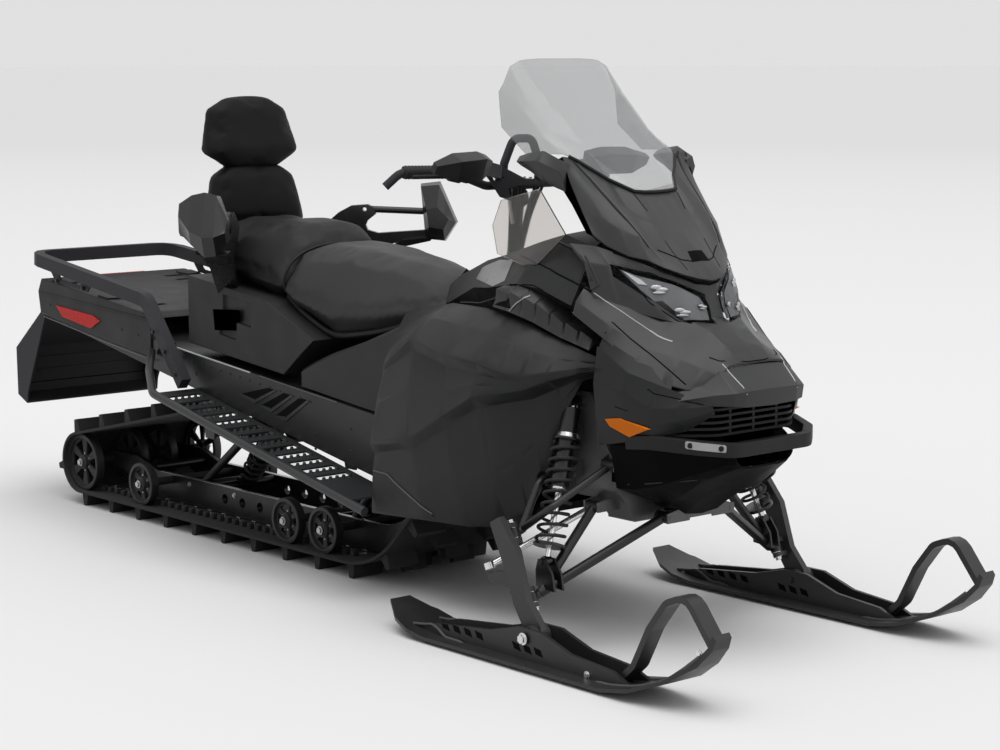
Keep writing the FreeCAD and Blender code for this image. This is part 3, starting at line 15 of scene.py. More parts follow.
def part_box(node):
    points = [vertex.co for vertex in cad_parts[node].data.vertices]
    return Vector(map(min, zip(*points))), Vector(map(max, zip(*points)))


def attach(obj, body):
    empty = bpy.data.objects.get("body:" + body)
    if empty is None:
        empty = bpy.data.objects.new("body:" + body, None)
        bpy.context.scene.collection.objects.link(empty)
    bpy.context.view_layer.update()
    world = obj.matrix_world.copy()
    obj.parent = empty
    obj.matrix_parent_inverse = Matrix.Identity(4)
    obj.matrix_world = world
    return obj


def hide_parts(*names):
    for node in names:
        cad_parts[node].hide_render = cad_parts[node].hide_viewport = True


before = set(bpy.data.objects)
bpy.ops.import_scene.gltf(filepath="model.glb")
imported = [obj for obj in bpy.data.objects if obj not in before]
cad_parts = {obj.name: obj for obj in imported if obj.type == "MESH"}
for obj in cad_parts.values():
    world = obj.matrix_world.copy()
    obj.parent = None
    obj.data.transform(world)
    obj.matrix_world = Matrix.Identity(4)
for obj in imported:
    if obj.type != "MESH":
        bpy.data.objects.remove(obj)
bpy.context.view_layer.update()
LOG = logging.getLogger("snowmobile")
CHASSIS = "chassis"
SIDES = ("right", "left")
SIGNS = (-1, 1)  # of X on the right side and on the left side
MERGE = 2e-5  # metres within which doubled corners are one
PRESS_REACH = 0.06  # metres off a surface from which a plate is pressed onto it
GRAIN_DEPTH = 0.0006
GLOSS_DRIFT = 0.06
Spot = Sequence[float]
Parts = tuple[bpy.types.Nodes, bpy.types.NodeLinks, bpy.types.Node]


def at(x: float, y: float, z: float) -> Vector:
    """A point given in millimetres, as the CAD source has it, in metres."""
    return Vector((x, y, z)) / 1000


def node_material(name: str) -> tuple[bpy.types.Material, Parts]:
    """A new material with its nodes.

    Args:
        name: Name of the material.

    Returns:
        The material, and its nodes, links and shader.
    """
    made = bpy.data.materials.new(name)
    made.use_nodes = True
    nodes = made.node_tree.nodes
    return made, (nodes, made.node_tree.links, nodes["Principled BSDF"])


def noise_over(nodes: bpy.types.Nodes, links: bpy.types.NodeLinks, place: bpy.types.NodeSocket, scale: float,
               detail: float) -> bpy.types.NodeSocket:
    """Noise over the object's own coordinates.

    Args:
        nodes: The material's nodes.
        links: The material's links.
        place: Where the coordinates come from.
        scale: Scale of the noise.
        detail: How many finer layers it has.

    Returns:
        The noise's value.
    """
    noise = nodes.new("ShaderNodeTexNoise")
    noise.inputs["Scale"].default_value = scale
    noise.inputs["Detail"].default_value = detail
    links.new(place, noise.inputs["Vector"])
    return noise.outputs["Fac"]


class Grain(Enum):
    """What a surface's fine relief looks like."""

    PLAIN = "plain"
    MOULDED = "moulded"
    VINYL = "vinyl"
    RUBBER = "rubber"
    BRUSHED = "brushed"
    POWDER = "powder"
    CAST = "cast"


@dataclass(frozen=True)
class Finish:
    """One opaque finish: its colour, gloss, relief and slow change of tone over the surface."""

    name: str
    colour: tuple[float, float, float]
    roughness: float = 0.5
    grain: Grain = Grain.MOULDED
    relief: float = 0.15
    metallic: float = 0.0
    coat: float = 0.0
    mottle: float = 0.12
    specular: float = 0.5
    glow: float = 0.0

    def material(self) -> bpy.types.Material:
        """Node material of this finish, made once.

        Returns:
            The material, shared by every piece with this finish.
        """
        found = bpy.data.materials.get(self.name)
        if found:
            return found
        made, (nodes, links, shader) = node_material(self.name)
        shader.inputs["Metallic"].default_value = self.metallic
        shader.inputs["Coat Weight"].default_value = self.coat
        shader.inputs["Coat Roughness"].default_value = 0.12
        shader.inputs["Specular IOR Level"].default_value = self.specular
        if self.glow:
            shader.inputs["Emission Color"].default_value = (*self.colour, 1)
            shader.inputs["Emission Strength"].default_value = self.glow
        place = nodes.new("ShaderNodeTexCoord").outputs["Object"]
        tone = noise_over(nodes, links, place, 3.5, 4.0)
        self._ramp(nodes, links, tone, shader.inputs["Base Color"])
        self._roughness(nodes, links, place, shader.inputs["Roughness"])
        self._relief(nodes, links, place, shader.inputs["Normal"])
        return made

    def _ramp(self, nodes: bpy.types.Nodes, links: bpy.types.NodeLinks, tone: bpy.types.NodeSocket,
              target: bpy.types.NodeSocket) -> None:
        """Colour that drifts a little to either side of the finish's own.

        Args:
            nodes: The material's nodes.
            links: The material's links.
            tone: Slow noise that the colour follows.
            target: The shader's socket that takes it.
        """
        ramp = nodes.new("ShaderNodeValToRGB")
        low, high = ramp.color_ramp.elements
        low.position, high.position = 0.3, 0.7
        low.color = (*(c * (1 - self.mottle) for c in self.colour), 1)
        high.color = (*(min(1, c * (1 + self.mottle)) for c in self.colour), 1)
        links.new(tone, ramp.inputs["Fac"])
        links.new(ramp.outputs["Color"], target)

    def _roughness(self, nodes: bpy.types.Nodes, links: bpy.types.NodeLinks, place: bpy.types.NodeSocket,
                   target: bpy.types.NodeSocket) -> None:
        """Roughness with the small changes of handled plastic, paint or metal.

        Args:
            nodes: The material's nodes.
            links: The material's links.
            place: Where the coordinates come from.
            target: The shader's socket that takes it.
        """
        spread = nodes.new("ShaderNodeMapRange")
        spread.inputs["From Min"].default_value = 0.3
        spread.inputs["From Max"].default_value = 0.7
        spread.inputs["To Min"].default_value = max(0.02, self.roughness - GLOSS_DRIFT)
        spread.inputs["To Max"].default_value = min(1.0, self.roughness + GLOSS_DRIFT)
        links.new(noise_over(nodes, links, place, 14.0, 5.0), spread.inputs["Value"])
        links.new(spread.outputs["Result"], target)

    def _relief(self, nodes: bpy.types.Nodes, links: bpy.types.NodeLinks, place: bpy.types.NodeSocket,
                target: bpy.types.NodeSocket) -> None:
        """Bump of the finish's grain.

        Args:
            nodes: The material's nodes.
            links: The material's links.
            place: Where the coordinates come from.
            target: The shader's socket that takes it.
        """
        if self.grain is Grain.PLAIN:
            return
        bump = nodes.new("ShaderNodeBump")
        bump.inputs["Strength"].default_value = self.relief
        bump.inputs["Distance"].default_value = GRAIN_DEPTH
        if self.grain in (Grain.VINYL, Grain.RUBBER):
            cells = nodes.new("ShaderNodeTexVoronoi")
            cells.inputs["Scale"].default_value = 420.0 if self.grain is Grain.VINYL else 240.0
            links.new(place, cells.inputs["Vector"])
            height = cells.outputs["Distance"]
        elif self.grain is Grain.BRUSHED:
            stretch = nodes.new("ShaderNodeMapping")
            stretch.inputs["Scale"].default_value = (30.0, 900.0, 900.0)
            links.new(place, stretch.inputs["Vector"])
            height = noise_over(nodes, links, stretch.outputs["Vector"], 1.0, 2.0)
        else:
            scale = {Grain.MOULDED: 650.0, Grain.POWDER: 380.0, Grain.CAST: 160.0}[self.grain]
            height = noise_over(nodes, links, place, scale, 3.0)
        links.new(height, bump.inputs["Height"])
        links.new(bump.outputs["Normal"], target)


@dataclass(frozen=True)
class Glazing:
    """A see-through finish: its tint, gloss and how far it is filled with haze."""

    name: str
    colour: tuple[float, float, float]
    roughness: float = 0.02
    haze: float = 0.0
    ior: float = 1.45

    def material(self) -> bpy.types.Material:
        """Node material of this finish, made once.

        Returns:
            The material, with haze in the clear body and dust that dulls it in places.
        """
        found = bpy.data.materials.get(self.name)
        if found:
            return found
        made, (nodes, links, shader) = node_material(self.name)
        shader.inputs["Base Color"].default_value = (*self.colour, 1)
        shader.inputs["Transmission Weight"].default_value = 1.0 - self.haze
        shader.inputs["IOR"].default_value = self.ior
        place = nodes.new("ShaderNodeTexCoord").outputs["Object"]
        dust = noise_over(nodes, links, place, 9.0, 6.0)
        spread = nodes.new("ShaderNodeMapRange")
        spread.inputs["To Min"].default_value = self.roughness
        spread.inputs["To Max"].default_value = self.roughness + 0.05
        links.new(dust, spread.inputs["Value"])
        links.new(spread.outputs["Result"], shader.inputs["Roughness"])
        return made


BODY = Finish("satin_body_plastic", (0.0245, 0.025, 0.026), 0.4, relief=0.1, specular=0.25)
COWL = Finish("satin_cowl_plastic", (0.034, 0.0345, 0.036), 0.36, relief=0.06, specular=0.4)
FAIRING = Finish("satin_fairing_plastic", (0.048, 0.0485, 0.05), 0.36, relief=0.06, specular=0.4)
TRIM = Finish("grained_trim_plastic", (0.009, 0.009, 0.0095), 0.52, relief=0.3, specular=0.3)
VENT = Finish("ribbed_vent_plastic", (0.021, 0.021, 0.022), 0.4, relief=0.1)
# Near-black painted shade, laid in gaps, slots, pockets, folds and behind the grille, where shade falls.
PAINTED_SHADE = Finish("shadow_gap", (0.002, 0.002, 0.002), 0.8, Grain.PLAIN, specular=0.1)
PAN = Finish("moulded_pan_plastic", (0.0025, 0.0025, 0.0028), 0.5, relief=0.2, specular=0.06)
FLAP = Finish("flap_plastic", (0.013, 0.013, 0.0135), 0.5, relief=0.2, specular=0.4)
DECK = Finish("grained_deck_plastic", (0.018, 0.0185, 0.0195), 0.55, relief=0.35, specular=0.35)
BLACK_PAINT = Finish("black_powder_coat", (0.01, 0.01, 0.011), 0.4, Grain.POWDER, 0.2)
TUNNEL_PAINT = Finish("painted_tunnel_sheet", (0.016, 0.0165, 0.0175), 0.36, Grain.POWDER, 0.12, specular=0.4)
BOARD_PAINT = Finish("painted_board_sheet", (0.035, 0.036, 0.038), 0.36, Grain.POWDER, 0.12, metallic=0.2)
RAIL = Finish("anodised_rail", (0.018, 0.0185, 0.02), 0.34, Grain.BRUSHED, 0.12, metallic=0.3)
RUBBER = Finish("track_rubber", (0.01, 0.01, 0.0105), 0.6, Grain.RUBBER, 0.35, mottle=0.3, specular=0.22)
TYRE = Finish("wheel_rubber", (0.017, 0.017, 0.018), 0.52, Grain.RUBBER, 0.2)
WHEEL = Finish("wheel_plastic", (0.011, 0.011, 0.012), 0.32)
BRIGHT = Finish("bright_plated_steel", (0.75, 0.75, 0.76), 0.22, Grain.BRUSHED, 0.05, metallic=1.0,
                mottle=0.05)
ALUMINIUM = Finish("bare_aluminium", (0.5, 0.5, 0.51), 0.34, Grain.BRUSHED, 0.08, metallic=0.9, mottle=0.06)
SHEET = Finish("grey_frame_sheet", (0.17, 0.17, 0.175), 0.42, Grain.BRUSHED, 0.1, metallic=0.35, mottle=0.08)
DAMPER = Finish("black_damper_body", (0.009, 0.009, 0.01), 0.26, Grain.PLAIN)
FORGED = Finish("forged_black", (0.022, 0.022, 0.024), 0.38, Grain.CAST, 0.2, metallic=0.3)
SKI = Finish("moulded_ski_plastic", (0.024, 0.024, 0.025), 0.42, relief=0.2)
SKI_RIM = Finish("ski_rim_plastic", (0.075, 0.075, 0.077), 0.4, relief=0.2)
BAR = Finish("bar_black", (0.008, 0.008, 0.009), 0.4, Grain.POWDER, 0.1)
GRIP = Finish("grip_rubber", (0.012, 0.012, 0.013), 0.6, Grain.RUBBER, 0.5)
RIDER_VINYL = Finish("charcoal_vinyl", (0.036, 0.0365, 0.038), 0.52, Grain.VINYL, 0.35, mottle=0.08,
                     specular=0.35)
PASSENGER_VINYL = Finish("dark_vinyl", (0.014, 0.014, 0.015), 0.54, Grain.VINYL, 0.35, mottle=0.08,
                         specular=0.3)
BACKREST_VINYL = Finish("black_vinyl", (0.004, 0.004, 0.0045), 0.58, Grain.VINYL, 0.3, mottle=0.08,
                        specular=0.2)
GLOSSY = Finish("gloss_black_shield", (0.02, 0.02, 0.021), 0.26, Grain.PLAIN, coat=0.2, mottle=0.04,
                specular=0.4)
RED_LENS = Finish("red_lens", (0.8, 0.015, 0.012), 0.25, Grain.PLAIN, mottle=0.05, specular=0.2)
AMBER_LENS = Finish("amber_lens", (0.95, 0.22, 0.005), 0.25, Grain.PLAIN, mottle=0.05, specular=0.2)
LAMP_BOWL = Finish("lamp_reflector", (0.62, 0.62, 0.64), 0.3, Grain.PLAIN, metallic=0.6, mottle=0.3)
LAMP_HOUSING = Finish("lamp_housing", (0.16, 0.16, 0.165), 0.34, Grain.PLAIN, metallic=0.3, mottle=0.3)
# Pale painted highlight, drawn as thin lines along ridges and edges where light catches them.
PAINTED_HIGHLIGHT = Finish("painted_highlight_line", (0.62, 0.62, 0.63), 0.35, Grain.PLAIN, mottle=0.03)
# Dimmer painted highlight, drawn as lines along softer edges.
DIM_PAINTED_HIGHLIGHT = Finish("dim_painted_highlight", (0.13, 0.13, 0.135), 0.4, Grain.PLAIN, mottle=0.1)
PEARL = Finish("pale_cowl_end", (0.3, 0.3, 0.305), 0.3, Grain.PLAIN, coat=0.3, mottle=0.18)
PLATE = Finish("pale_plate", (0.6, 0.6, 0.61), 0.35, Grain.PLAIN, mottle=0.04)
ENGINE = Finish("engine_cast", (0.04, 0.04, 0.04), 0.6, Grain.CAST, 0.5, metallic=0.4)
SCREEN_GLASS = Finish("gauge_face", (0.006, 0.006, 0.007), 0.08, Grain.PLAIN, coat=1.0, mottle=0.02)
SMOKE = Glazing("smoke_screen", (0.7, 0.7, 0.705), haze=0.42)
TINT = Glazing("tinted_deflector", (0.7, 0.665, 0.645))
LENS = Glazing("clear_lens", (0.93, 0.94, 0.95), ior=1.12)


def carried(node: str, dissolve: float = 0.5) -> bmesh.types.BMesh:
    """A CAD node's shape with its doubled corners merged and its flat faces made one.

    Args:
        node: Name of the CAD node.
        dissolve: Greatest angle in degrees across an edge inside a flat face.

    Returns:
        An open bmesh that the caller puts into a piece.
    """
    shape = bmesh.new()
    shape.from_mesh(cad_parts[node].data)
    bmesh.ops.remove_doubles(shape, verts=shape.verts, dist=MERGE)
    if dissolve:
        bmesh.ops.dissolve_limit(shape, angle_limit=math.radians(dissolve), verts=shape.verts,
                                 edges=shape.edges)
    return shape


def round_edges(shape: bmesh.types.BMesh, edges: Sequence[bmesh.types.BMEdge], width: float,
                segments: int = 2, clamp: bool = True) -> None:
    """Rounds some edges of a shape.

    Args:
        shape: The mesh to round, in place.
        edges: The edges to round.
        width: Size of the rounding in metres.
        segments: Faces across each rounding.
        clamp: Whether roundings stop where they would run into each other.
    """
    bmesh.ops.bevel(shape, geom=edges, offset=width, affect="EDGES", segments=segments, profile=0.5,
                    clamp_overlap=clamp, material=-1)


def soften(shape: bmesh.types.BMesh, width: float, crease: float = 38.0, segments: int = 2) -> None:
    """Rounds the edges that turn by more than an angle.

    Args:
        shape: The mesh to round, in place.
        width: Size of the rounding in metres.
        crease: Smallest turn in degrees that counts as an edge.
        segments: Faces across each rounding.
    """
    limit = math.radians(crease)
    sharp = [edge for edge in shape.edges if edge.is_manifold and edge.calc_face_angle(0) > limit]
    round_edges(shape, sharp, width, segments)


def show(name: str, shape: bmesh.types.BMesh, finish: Finish | Glazing, body: str = CHASSIS,
         replaces: Iterable[str] = (), crease: float = 40.0, weighted: bool = True) -> bpy.types.Object:
    """Makes a shape a piece of the machine.

    Args:
        name: Name of the piece.
        shape: Its mesh, freed here.
        finish: What it is made of.
        body: The CAD body that it moves with.
        replaces: CAD nodes that it stands for.
        crease: Edges that turn by more than this many degrees stay sharp.
        weighted: Whether large flat faces keep their own light.

    Returns:
        The piece.
    """
    limit = math.radians(crease)
    for face in shape.faces:
        face.smooth = True
    for edge in shape.edges:
        edge.smooth = edge.is_manifold and edge.calc_face_angle(0) <= limit
    mesh = bpy.data.meshes.new(name)
    shape.to_mesh(mesh)
    shape.free()
    stale = mesh.attributes.get("custom_normal")
    if stale:
        mesh.attributes.remove(stale)
    made = bpy.data.objects.new(name, mesh)
    bpy.context.scene.collection.objects.link(made)
    mesh.materials.clear()
    mesh.materials.append(finish.material())
    if weighted:
        even = made.modifiers.new("even_light", "WEIGHTED_NORMAL")
        even.keep_sharp = True
    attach(made, body)
    if replaces:
        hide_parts(*replaces)
    return made


def dressed(node: str, finish: Finish | Glazing, width: float = 0.0012, body: str = CHASSIS,
            crease: float = 38.0, curved: bool = False,
            reshape: Callable[[bmesh.types.BMesh], None] | None = None) -> bpy.types.Object:
    """A rigid CAD node with rounded edges and its finish, in place of the bare solid.

    Args:
        node: Name of the CAD node.
        finish: What it is made of.
        width: Size of the rounding of its edges in metres.
        body: The CAD body that it moves with.
        crease: Smallest turn in degrees that counts as an edge.
        curved: Whether its large faces are bent and take their light smoothly.
        reshape: What moves its points before its edges are rounded, if anything.

    Returns:
        The piece that stands for the node.
    """
    shape = carried(node, 0.0 if curved else 0.5)
    if reshape:
        reshape(shape)
    soften(shape, width, crease)
    return show(f"{node}.dressed", shape, finish, body, [node], crease=crease + 4,
                weighted=not curved)


def aim(start: Vector, along: Vector) -> Matrix:
    """Matrix that puts a shape's Z axis along a direction at a point."""
    return Matrix.Translation(start) @ along.to_track_quat("Z", "Y").to_matrix().to_4x4()


def drum(shape: bmesh.types.BMesh, start: Vector, end: Vector, radius: float, segments: int = 24,
         tip: float | None = None, edge: float = 0.0) -> None:
    """Adds a round bar, or a cone, between two points.

    Args:
        shape: The mesh to add to.
        start: Middle of one end.
        end: Middle of the other end.
        radius: Radius at the start.
        segments: Sides round it.
        tip: Radius at the end, the same as at the start if left out.
        edge: Size of the rounding of its rims.
    """
    along = end - start
    limit = math.radians(50)
    before = set(shape.edges)
    bmesh.ops.create_cone(shape, cap_ends=True, segments=segments, radius1=radius,
                          radius2=radius if tip is None else tip, depth=along.length,
                          matrix=aim((start + end) / 2, along))
    if edge:
        rims = [item for item in shape.edges if item not in before and item.calc_face_angle(0) > limit]
        round_edges(shape, rims, edge, clamp=False)


def block(shape: bmesh.types.BMesh, low: Vector, high: Vector, edge: float = 0.0) -> None:
    """Adds a box between two corners, rounded.

    Args:
        shape: The mesh to add to.
        low: Lowest corner.
        high: Highest corner.
        edge: Size of the rounding.
    """
    middle, span = (low + high) / 2, high - low
    before = set(shape.edges)
    place = Matrix.Translation(middle) @ Matrix.Diagonal((*span, 1))
    bmesh.ops.create_cube(shape, size=1.0, matrix=place)
    if edge:
        round_edges(shape, [item for item in shape.edges if item not in before], edge)


def hex_bolt(shape: bmesh.types.BMesh, spot: Vector, out: Vector, radius: float = 0.006,
             tall: float = 0.004) -> None:
    """Adds a bolt head with its washer, standing out of a surface.

    Args:
        shape: The mesh to add to.
        spot: Point on the surface.
        out: Direction out of the surface.
        radius: Radius of the head.
        tall: Height of the head.
    """
    out = out.normalized()
    drum(shape, spot - out * 0.001, spot + out * 0.0012, radius * 1.35, 16, edge=0.0004)
    drum(shape, spot, spot + out * (tall + 0.001), radius, 6, edge=0.0006)


def round_bolt(shape: bmesh.types.BMesh, spot: Vector, out: Vector, radius: float = 0.006) -> None:
    """Adds a domed rivet or screw head standing out of a surface."""
    out = out.normalized()
    drum(shape, spot - out * 0.001, spot + out * radius * 0.35, radius, 14, tip=radius * 0.72, edge=0.0003)


def strand(name: str, paths: Sequence[Sequence[Vector]], radius: float, finish: Finish, body: str = CHASSIS,
           smooth: bool = True, sides: int = 3) -> bpy.types.Object:
    """Thin round bars that follow points in space, such as piping, wires or silver lines.

    Args:
        name: Name of the piece.
        paths: The points that each bar follows.
        radius: Their radius.
        finish: What they are made of.
        body: The CAD body that they move with.
        smooth: Whether they bend smoothly or in straight runs.
        sides: Resolution of the round section.

    Returns:
        The piece, as a mesh.
    """
    curve = bpy.data.curves.new(name, "CURVE")
    curve.dimensions = "3D"
    curve.bevel_depth = radius
    curve.bevel_resolution = sides
    curve.use_fill_caps = True
    curve.resolution_u = 6
    for path in paths:
        line = curve.splines.new("NURBS" if smooth else "POLY")
        line.points.add(len(path) - 1)
        for point, spot in zip(line.points, path):
            point.co = (*spot, 1)
        if smooth:
            line.order_u = 3
            line.use_endpoint_u = True
    carrier = bpy.data.objects.new(name + "_path", curve)
    mesh = bpy.data.meshes.new_from_object(carrier)
    bpy.data.objects.remove(carrier)
    shape = bmesh.new()
    shape.from_mesh(mesh)
    bpy.data.meshes.remove(mesh)
    bmesh.ops.remove_doubles(shape, verts=shape.verts, dist=MERGE)
    return show(name, shape, finish, body, weighted=False)


def skin(*nodes: str) -> BVHTree:
    """The surface of some CAD nodes, for what lies on it.

    Args:
        *nodes: Names of the CAD nodes.

    Returns:
        A tree that finds the nearest point of them.
    """
    shape = bmesh.new()
    for node in nodes:
        shape.from_mesh(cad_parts[node].data)
    tree = BVHTree.FromBMesh(shape)
    shape.free()
    return tree


def laid(path: Sequence[Spot], tree: BVHTree, lift: float = 0.0, step: float = 0.012) -> list[Vector]:
    """A line through points in millimetres, pressed onto a surface.

    Args:
        path: The line's corners, on or near the surface.
        tree: The surface.
        lift: How far the line's middle stands out of it, in metres.
        step: Greatest distance between two of its points, in metres.

    Returns:
        The line's points, in metres.
    """
    spots = [at(*path[0])]
    for start, end in zip(path, path[1:]):
        a, b = at(*start), at(*end)
        count = max(1, round((b - a).length / step))
        spots += [a.lerp(b, (i + 1) / count) for i in range(count)]
    pressed = []
    for spot in spots:
        near, normal, _, _ = tree.find_nearest(spot)
        pressed.append(near + normal * lift)
    return pressed


def across(paths: Sequence[Sequence[Vector]]) -> list[list[Vector]]:
    """Right-hand lines with their mirror images on the left side.

    Args:
        paths: The points of each right-hand line.

    Returns:
        The lines of both sides.
    """
    return [list(path) for path in paths] + [[Vector((-p.x, p.y, p.z)) for p in path] for path in paths]


def seam(name: str, path: Sequence[Spot], nodes: Sequence[str], radius: float, finish: Finish,
         lift: float = 0.0, body: str = CHASSIS) -> bpy.types.Object:
    """A thin line on a panel's surface, on both sides of the machine.

    Args:
        name: Name of the piece.
        path: Its corners on the right side, in millimetres.
        nodes: CAD nodes that it lies on.
        radius: Its radius in metres.
        finish: What it is made of.
        lift: How far its middle stands out of the surface.
        body: The CAD body that it moves with.

    Returns:
        The piece, one line a side.
    """
    return strand(name, across([laid(path, skin(*nodes), lift)]), radius, finish, body, sides=2)


def folded(shape: bmesh.types.BMesh, rows: Sequence[Sequence[Spot]], thickness: float) -> None:
    """Adds a sheet of even thickness that runs through rows of points, on both sides of the machine.

    Args:
        shape: The mesh to add to.
        rows: Right-hand points of each cross line in turn, in millimetres.
        thickness: Thickness of the sheet in metres.
    """
    lines = [[shape.verts.new(at(*spot)) for spot in row] for row in rows]
    for near, far in zip(lines, lines[1:]):
        for a, b, c, d in zip(near, near[1:], far[1:], far):
            shape.faces.new((a, b, c, d))
    bmesh.ops.recalc_face_normals(shape, faces=shape.faces)
    bmesh.ops.solidify(shape, geom=shape.faces[:], thickness=thickness)
    both_hands(shape)


def both_hands(shape: bmesh.types.BMesh) -> None:
    """Adds the mirror image of a right-hand shape on the left side.

    Args:
        shape: The mesh to add to.
    """
    made = bmesh.ops.duplicate(shape, geom=shape.verts[:] + shape.edges[:] + shape.faces[:])["geom"]
    corners = [item for item in made if isinstance(item, bmesh.types.BMVert)]
    bmesh.ops.scale(shape, verts=corners, vec=(-1, 1, 1))
    bmesh.ops.reverse_faces(shape, faces=[item for item in made if isinstance(item, bmesh.types.BMFace)])


def cut_plate(outline: Sequence[Spot], thickness: float) -> bmesh.types.BMesh:
    """A flat plate of even thickness.

    Args:
        outline: Its corners in turn, in millimetres.
        thickness: Its thickness in metres.

    Returns:
        An open bmesh that the caller puts into a piece.
    """
    shape = bmesh.new()
    shape.faces.new([shape.verts.new(at(*spot)) for spot in outline])
    bmesh.ops.solidify(shape, geom=shape.faces[:], thickness=thickness)
    return shape


def draped(shape: bmesh.types.BMesh, outline: Sequence[Spot], tree: BVHTree, out: Spot, lift: float = 0.0008,
           depth: float = 0.003, cell: float = 0.014) -> None:
    """Adds a plate, cut to an outline, that is pressed onto a bent surface.

    Args:
        shape: The mesh to add to.
        outline: Corners of the plate, on or near the surface, in millimetres.
        tree: The surface.
        out: Direction in which the plate is pressed, from the surface outwards.
        lift: How far its face stands out of the surface, in metres.
        depth: Its thickness in metres.
        cell: Size of the grid that lets it bend, in metres.
    """
    patch = bmesh.new()
    patch.faces.new([patch.verts.new(at(*spot)) for spot in outline])
    toward = Vector(out).normalized()
    side = toward.orthogonal().normalized()
    for axis in (side, toward.cross(side)):
        reach = [vertex.co.dot(axis) for vertex in patch.verts]
        for i in range(1, int((max(reach) - min(reach)) / cell) + 1):
            bmesh.ops.bisect_plane(patch, geom=patch.verts[:] + patch.edges[:] + patch.faces[:], dist=1e-6,
                                   plane_co=axis * (min(reach) + i * cell), plane_no=axis)
    for vertex in patch.verts:
        hit = tree.ray_cast(vertex.co + toward * PRESS_REACH, -toward, 2 * PRESS_REACH)[0]
        if hit is None:
            hit = tree.find_nearest(vertex.co)[0]
        vertex.co = hit + toward * lift
    bmesh.ops.triangulate(patch, faces=patch.faces[:])
    raised = bmesh.ops.extrude_face_region(patch, geom=patch.faces[:])["geom"]
    sunk = [item for item in raised if isinstance(item, bmesh.types.BMVert)]
    bmesh.ops.translate(patch, verts=sunk, vec=toward * -depth)
    bmesh.ops.recalc_face_normals(patch, faces=patch.faces[:])
    carrier = bpy.data.meshes.new("patch")
    patch.to_mesh(carrier)
    patch.free()
    shape.from_mesh(carrier)
    bpy.data.meshes.remove(carrier)


def coil(shape: bmesh.types.BMesh, low: Vector, high: Vector, radius: float, wire: float,
         turns: float) -> None:
    """Adds a wound spring between two points by turning a round wire section as it climbs.

    Args:
        shape: The mesh to add to.
        low: Middle of the lower end.
        high: Middle of the upper end.
        radius: Radius from the spring's axis to the middle of its wire.
        wire: Radius of the wire.
        turns: Number of turns.
    """
    along = high - low
    outward = aim(low, along).to_3x3() @ Vector((1, 0, 0))
    ring = bmesh.ops.create_circle(shape, cap_ends=True, segments=8, radius=wire,
                                   matrix=aim(low + outward * radius, along.cross(outward)))["verts"]
    faces = list(ring[0].link_faces)
    steps = int(turns * 20)
    bmesh.ops.spin(shape, geom=ring + list({e for v in ring for e in v.link_edges}) + faces, cent=low,
                   axis=along.normalized(), dvec=along / steps, angle=math.tau * turns, steps=steps,
                   use_duplicate=False)


